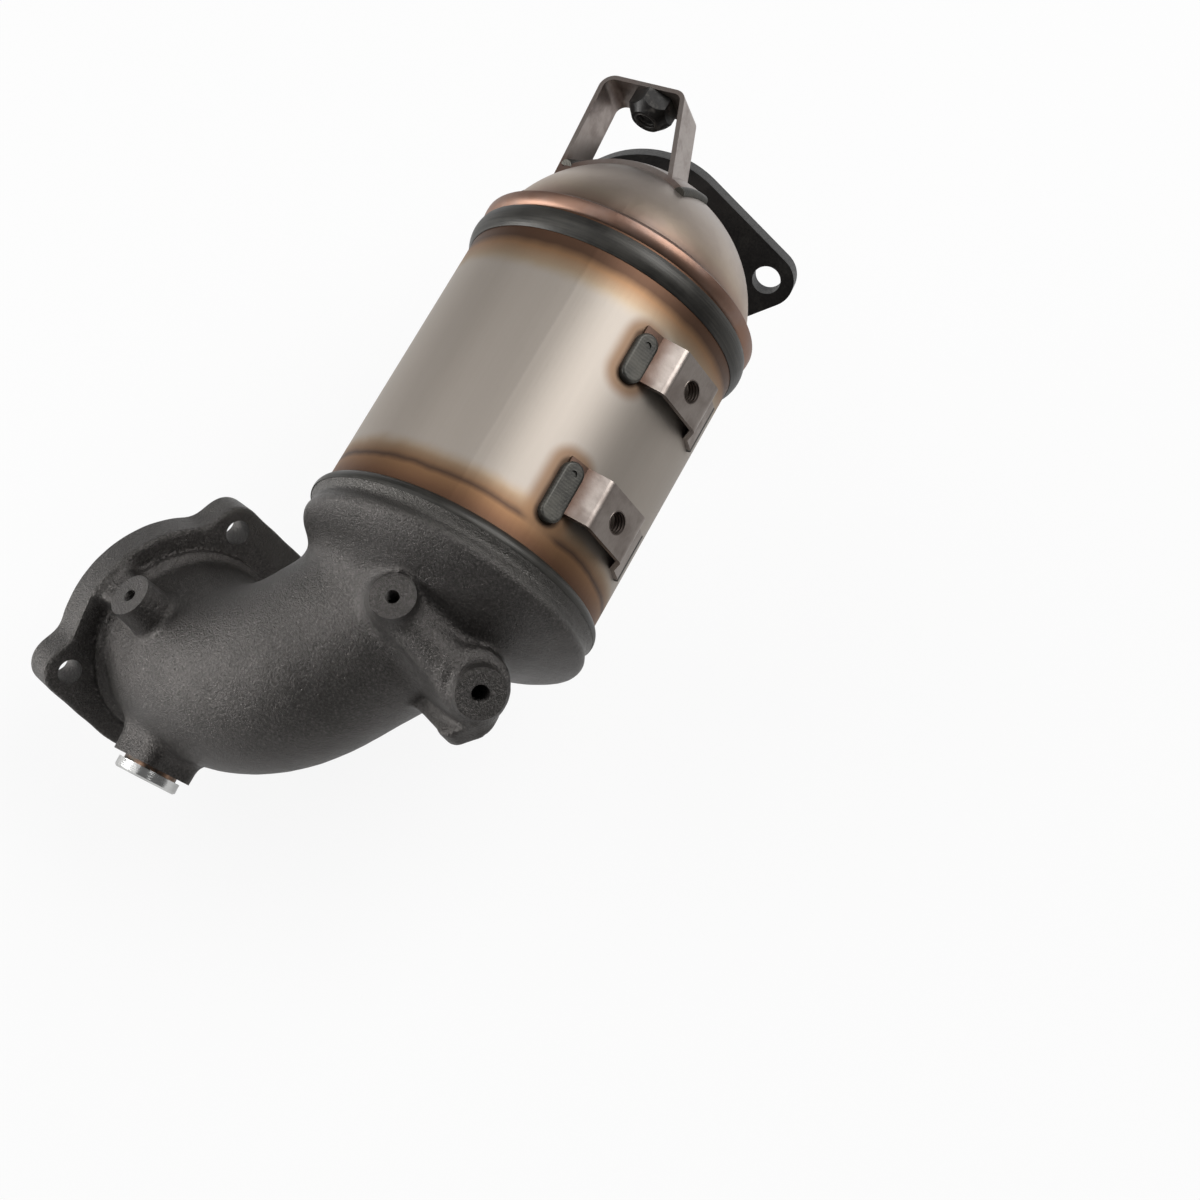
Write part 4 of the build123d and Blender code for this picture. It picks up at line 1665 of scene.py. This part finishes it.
@dataclass(frozen=True)
class BrightZinc(Finish):
    """Turned plug, plated bright."""

    bright: Colour = (226, 226, 224)
    shade: Colour = (150, 150, 150)
    way: Triple = (-0.9798, 0.0004, -0.2001)

    def paint(self, sheet: Sheet) -> Material:
        """Turning bands along the plug's axis and a few dull spots.

        Args:
            sheet: The sheet that is painted.

        Returns:
            The material.
        """
        height = sheet.along(middle_of("sensor_plug")[0] + CAN_START, unit(self.way))
        bands = sheet.noise(2.6, 3.0, 0.6, sheet.joined(height, 0.0, 0.0))
        spots = sheet.spread(sheet.noise(320.0, 3.0), 0.56, 0.74)
        colour = sheet.blend(bands * 0.6 + spots * 0.4, self.bright, self.shade)
        return sheet.finish(colour, 0.2 + spots * 0.25, 1.0, sheet.bump(bands, 0.5, 0.00025))


@dataclass(frozen=True)
class WasherCopper(Finish):
    """Dulled sealing washer."""

    copper: Colour = (150, 120, 100)
    dull: Colour = (92, 86, 80)

    def paint(self, sheet: Sheet) -> Material:
        """Patches of dulled metal.

        Args:
            sheet: The sheet that is painted.

        Returns:
            The material.
        """
        patches = sheet.noise(300.0, 4.0, 0.6)
        colour = sheet.blend(sheet.spread(patches, 0.35, 0.65), self.copper, self.dull)
        return sheet.finish(colour, sheet.spread(patches, 0.3, 0.7, 0.3, 0.5), 1.0, sheet.bump(patches, 0.4, 0.0001))


@dataclass(frozen=True)
class Honeycomb(Finish):
    """Coated ceramic honeycomb: square channels along the can with thin walls."""

    wall: Colour = (196, 178, 142)
    # painted shade: the hollow colour stands for the dark inside of each channel and between the skin's ribs
    hollow: Colour = (46, 38, 30)
    cell: float = 1.3

    def paint(self, sheet: Sheet) -> Material:
        """Channels on the end faces, a ribbed skin round the brick, and painted shade: the hollow colour darkens the
        inside of each channel and the grooves between the ribs.

        Args:
            sheet: The sheet that is painted.

        Returns:
            The material.
        """
        y, z = (sheet.along(CAN_START, clock(turn)) * (1.0 / self.cell) for turn in (90.0, 0.0))
        across = (y.wrapped() - 0.5).size().larger((z.wrapped() - 0.5).size())
        wall = sheet.spread(across, 0.36, 0.42)
        # painted shade: away from the walls, the hollow colour darkens the channels and the grooves between the ribs
        colour = sheet.blend(wall * (0.7 + sheet.noise(60.0, 3.0) * 0.3), self.hollow, self.wall)
        return sheet.finish(colour, 0.85, 0.0, sheet.bump(wall, 0.8, 0.0006))


@dataclass(frozen=True)
class FibreMat(Finish):
    """Pale swelling mat of mineral fibre with flakes in it."""

    fibre: Colour = (206, 200, 186)
    flake: Colour = (150, 124, 84)

    def paint(self, sheet: Sheet) -> Material:
        """Matted fibres and scattered flakes.

        Args:
            sheet: The sheet that is painted.

        Returns:
            The material.
        """
        strands = sheet.streaks((900.0, 300.0, 1700.0), 4.0)
        flakes = sheet.spread(sheet.specks(480.0), 0.3, 0.16)
        colour = sheet.blend(flakes, sheet.blend(strands, self.flake, self.fibre), self.flake)
        return sheet.finish(colour, 0.95, 0.0, sheet.bump(strands + flakes * 0.4, 0.8, 0.0004))


@dataclass(frozen=True)
class WireKnit(Finish):
    """Rope of knitted steel wire."""

    wire: Colour = (170, 164, 156)
    # painted shade: the dark between the knitted loops
    gap: Colour = (48, 44, 40)
    stitch: float = 1.6

    def paint(self, sheet: Sheet) -> Material:
        """Loops as two crossed rows of waves, by station and by the way round, with painted shade in the gaps
        between them.

        Args:
            sheet: The sheet that is painted.

        Returns:
            The material.
        """
        turn = sheet.clock() * (ROUND_WAY / self.stitch)
        row = sheet.station() * (1.0 / self.stitch)
        first, second = ((way.wrapped() - 0.5).size() * 2.0 for way in (turn + row, turn - row))
        loops = first.larger(second)
        # painted shade in the gaps between the loops
        colour = sheet.blend(sheet.spread(loops, 0.45, 0.8), self.gap, self.wire)
        return sheet.finish(colour, sheet.spread(loops, 0.4, 1.0, 0.6, 0.35), 1.0, sheet.bump(loops, 0.8, 0.0005))


def main() -> None:
    """Builds the studio, the casting and every piece's finish."""
    logging.basicConfig(level=logging.INFO, format="%(name)s: %(message)s")
    Studio().build()
    InletCasting(Elbow()).build(CastIron("cast_iron").material(), FacedIron("faced_iron").material())
    finishes: Dict[Finish, Tuple[str, ...]] = {
        BrightZinc("bright_zinc"): ("sensor_plug",),
        WasherCopper("washer_copper"): ("sensor_plug_washer",),
        RingBand("ring_weld"): ("inlet_weld", "outlet_weld"),
        RolledSteel("can_steel"): ("can_shell",),
        DomeSteel("dome_steel"): ("outlet_cone",),
        BlackPlate("black_plate"): ("outlet_flange",),
        StrapSteel("strap_steel"): ("hanger_strap",),
        BlackNut("black_nut"): ("hanger_nut",),
        WeldSkin("strip_weld"): (
            "upper_bracket_weld", "lower_bracket_weld", "upper_far_weld", "lower_far_weld", "outlet_flange_weld",
        ),
        WeldSkin("foot_weld", metal=0.9, lay=Lay.ROUND): ("hanger_weld_left", "hanger_weld_right"),
        BracketSteel("upper_bracket_steel", "upper_bracket_thread", "upper_bracket_weld"): ("upper_bracket",),
        BracketSteel("lower_bracket_steel", "lower_bracket_thread", "lower_bracket_weld"): ("lower_bracket",),
        Honeycomb("honeycomb"): ("front_brick", "rear_brick"),
        FibreMat("fibre_mat"): ("front_mat", "rear_mat"),
        WireKnit("wire_knit"): ("front_seal_ring", "rear_seal_ring"),
    }
    for finish, nodes in finishes.items():
        material = finish.material()
        for node in nodes:
            dress(frame["nodes"][node], material)
        LOG.info("%s on %s", finish.name, ", ".join(nodes))


if __name__ == "__main__":
    main()
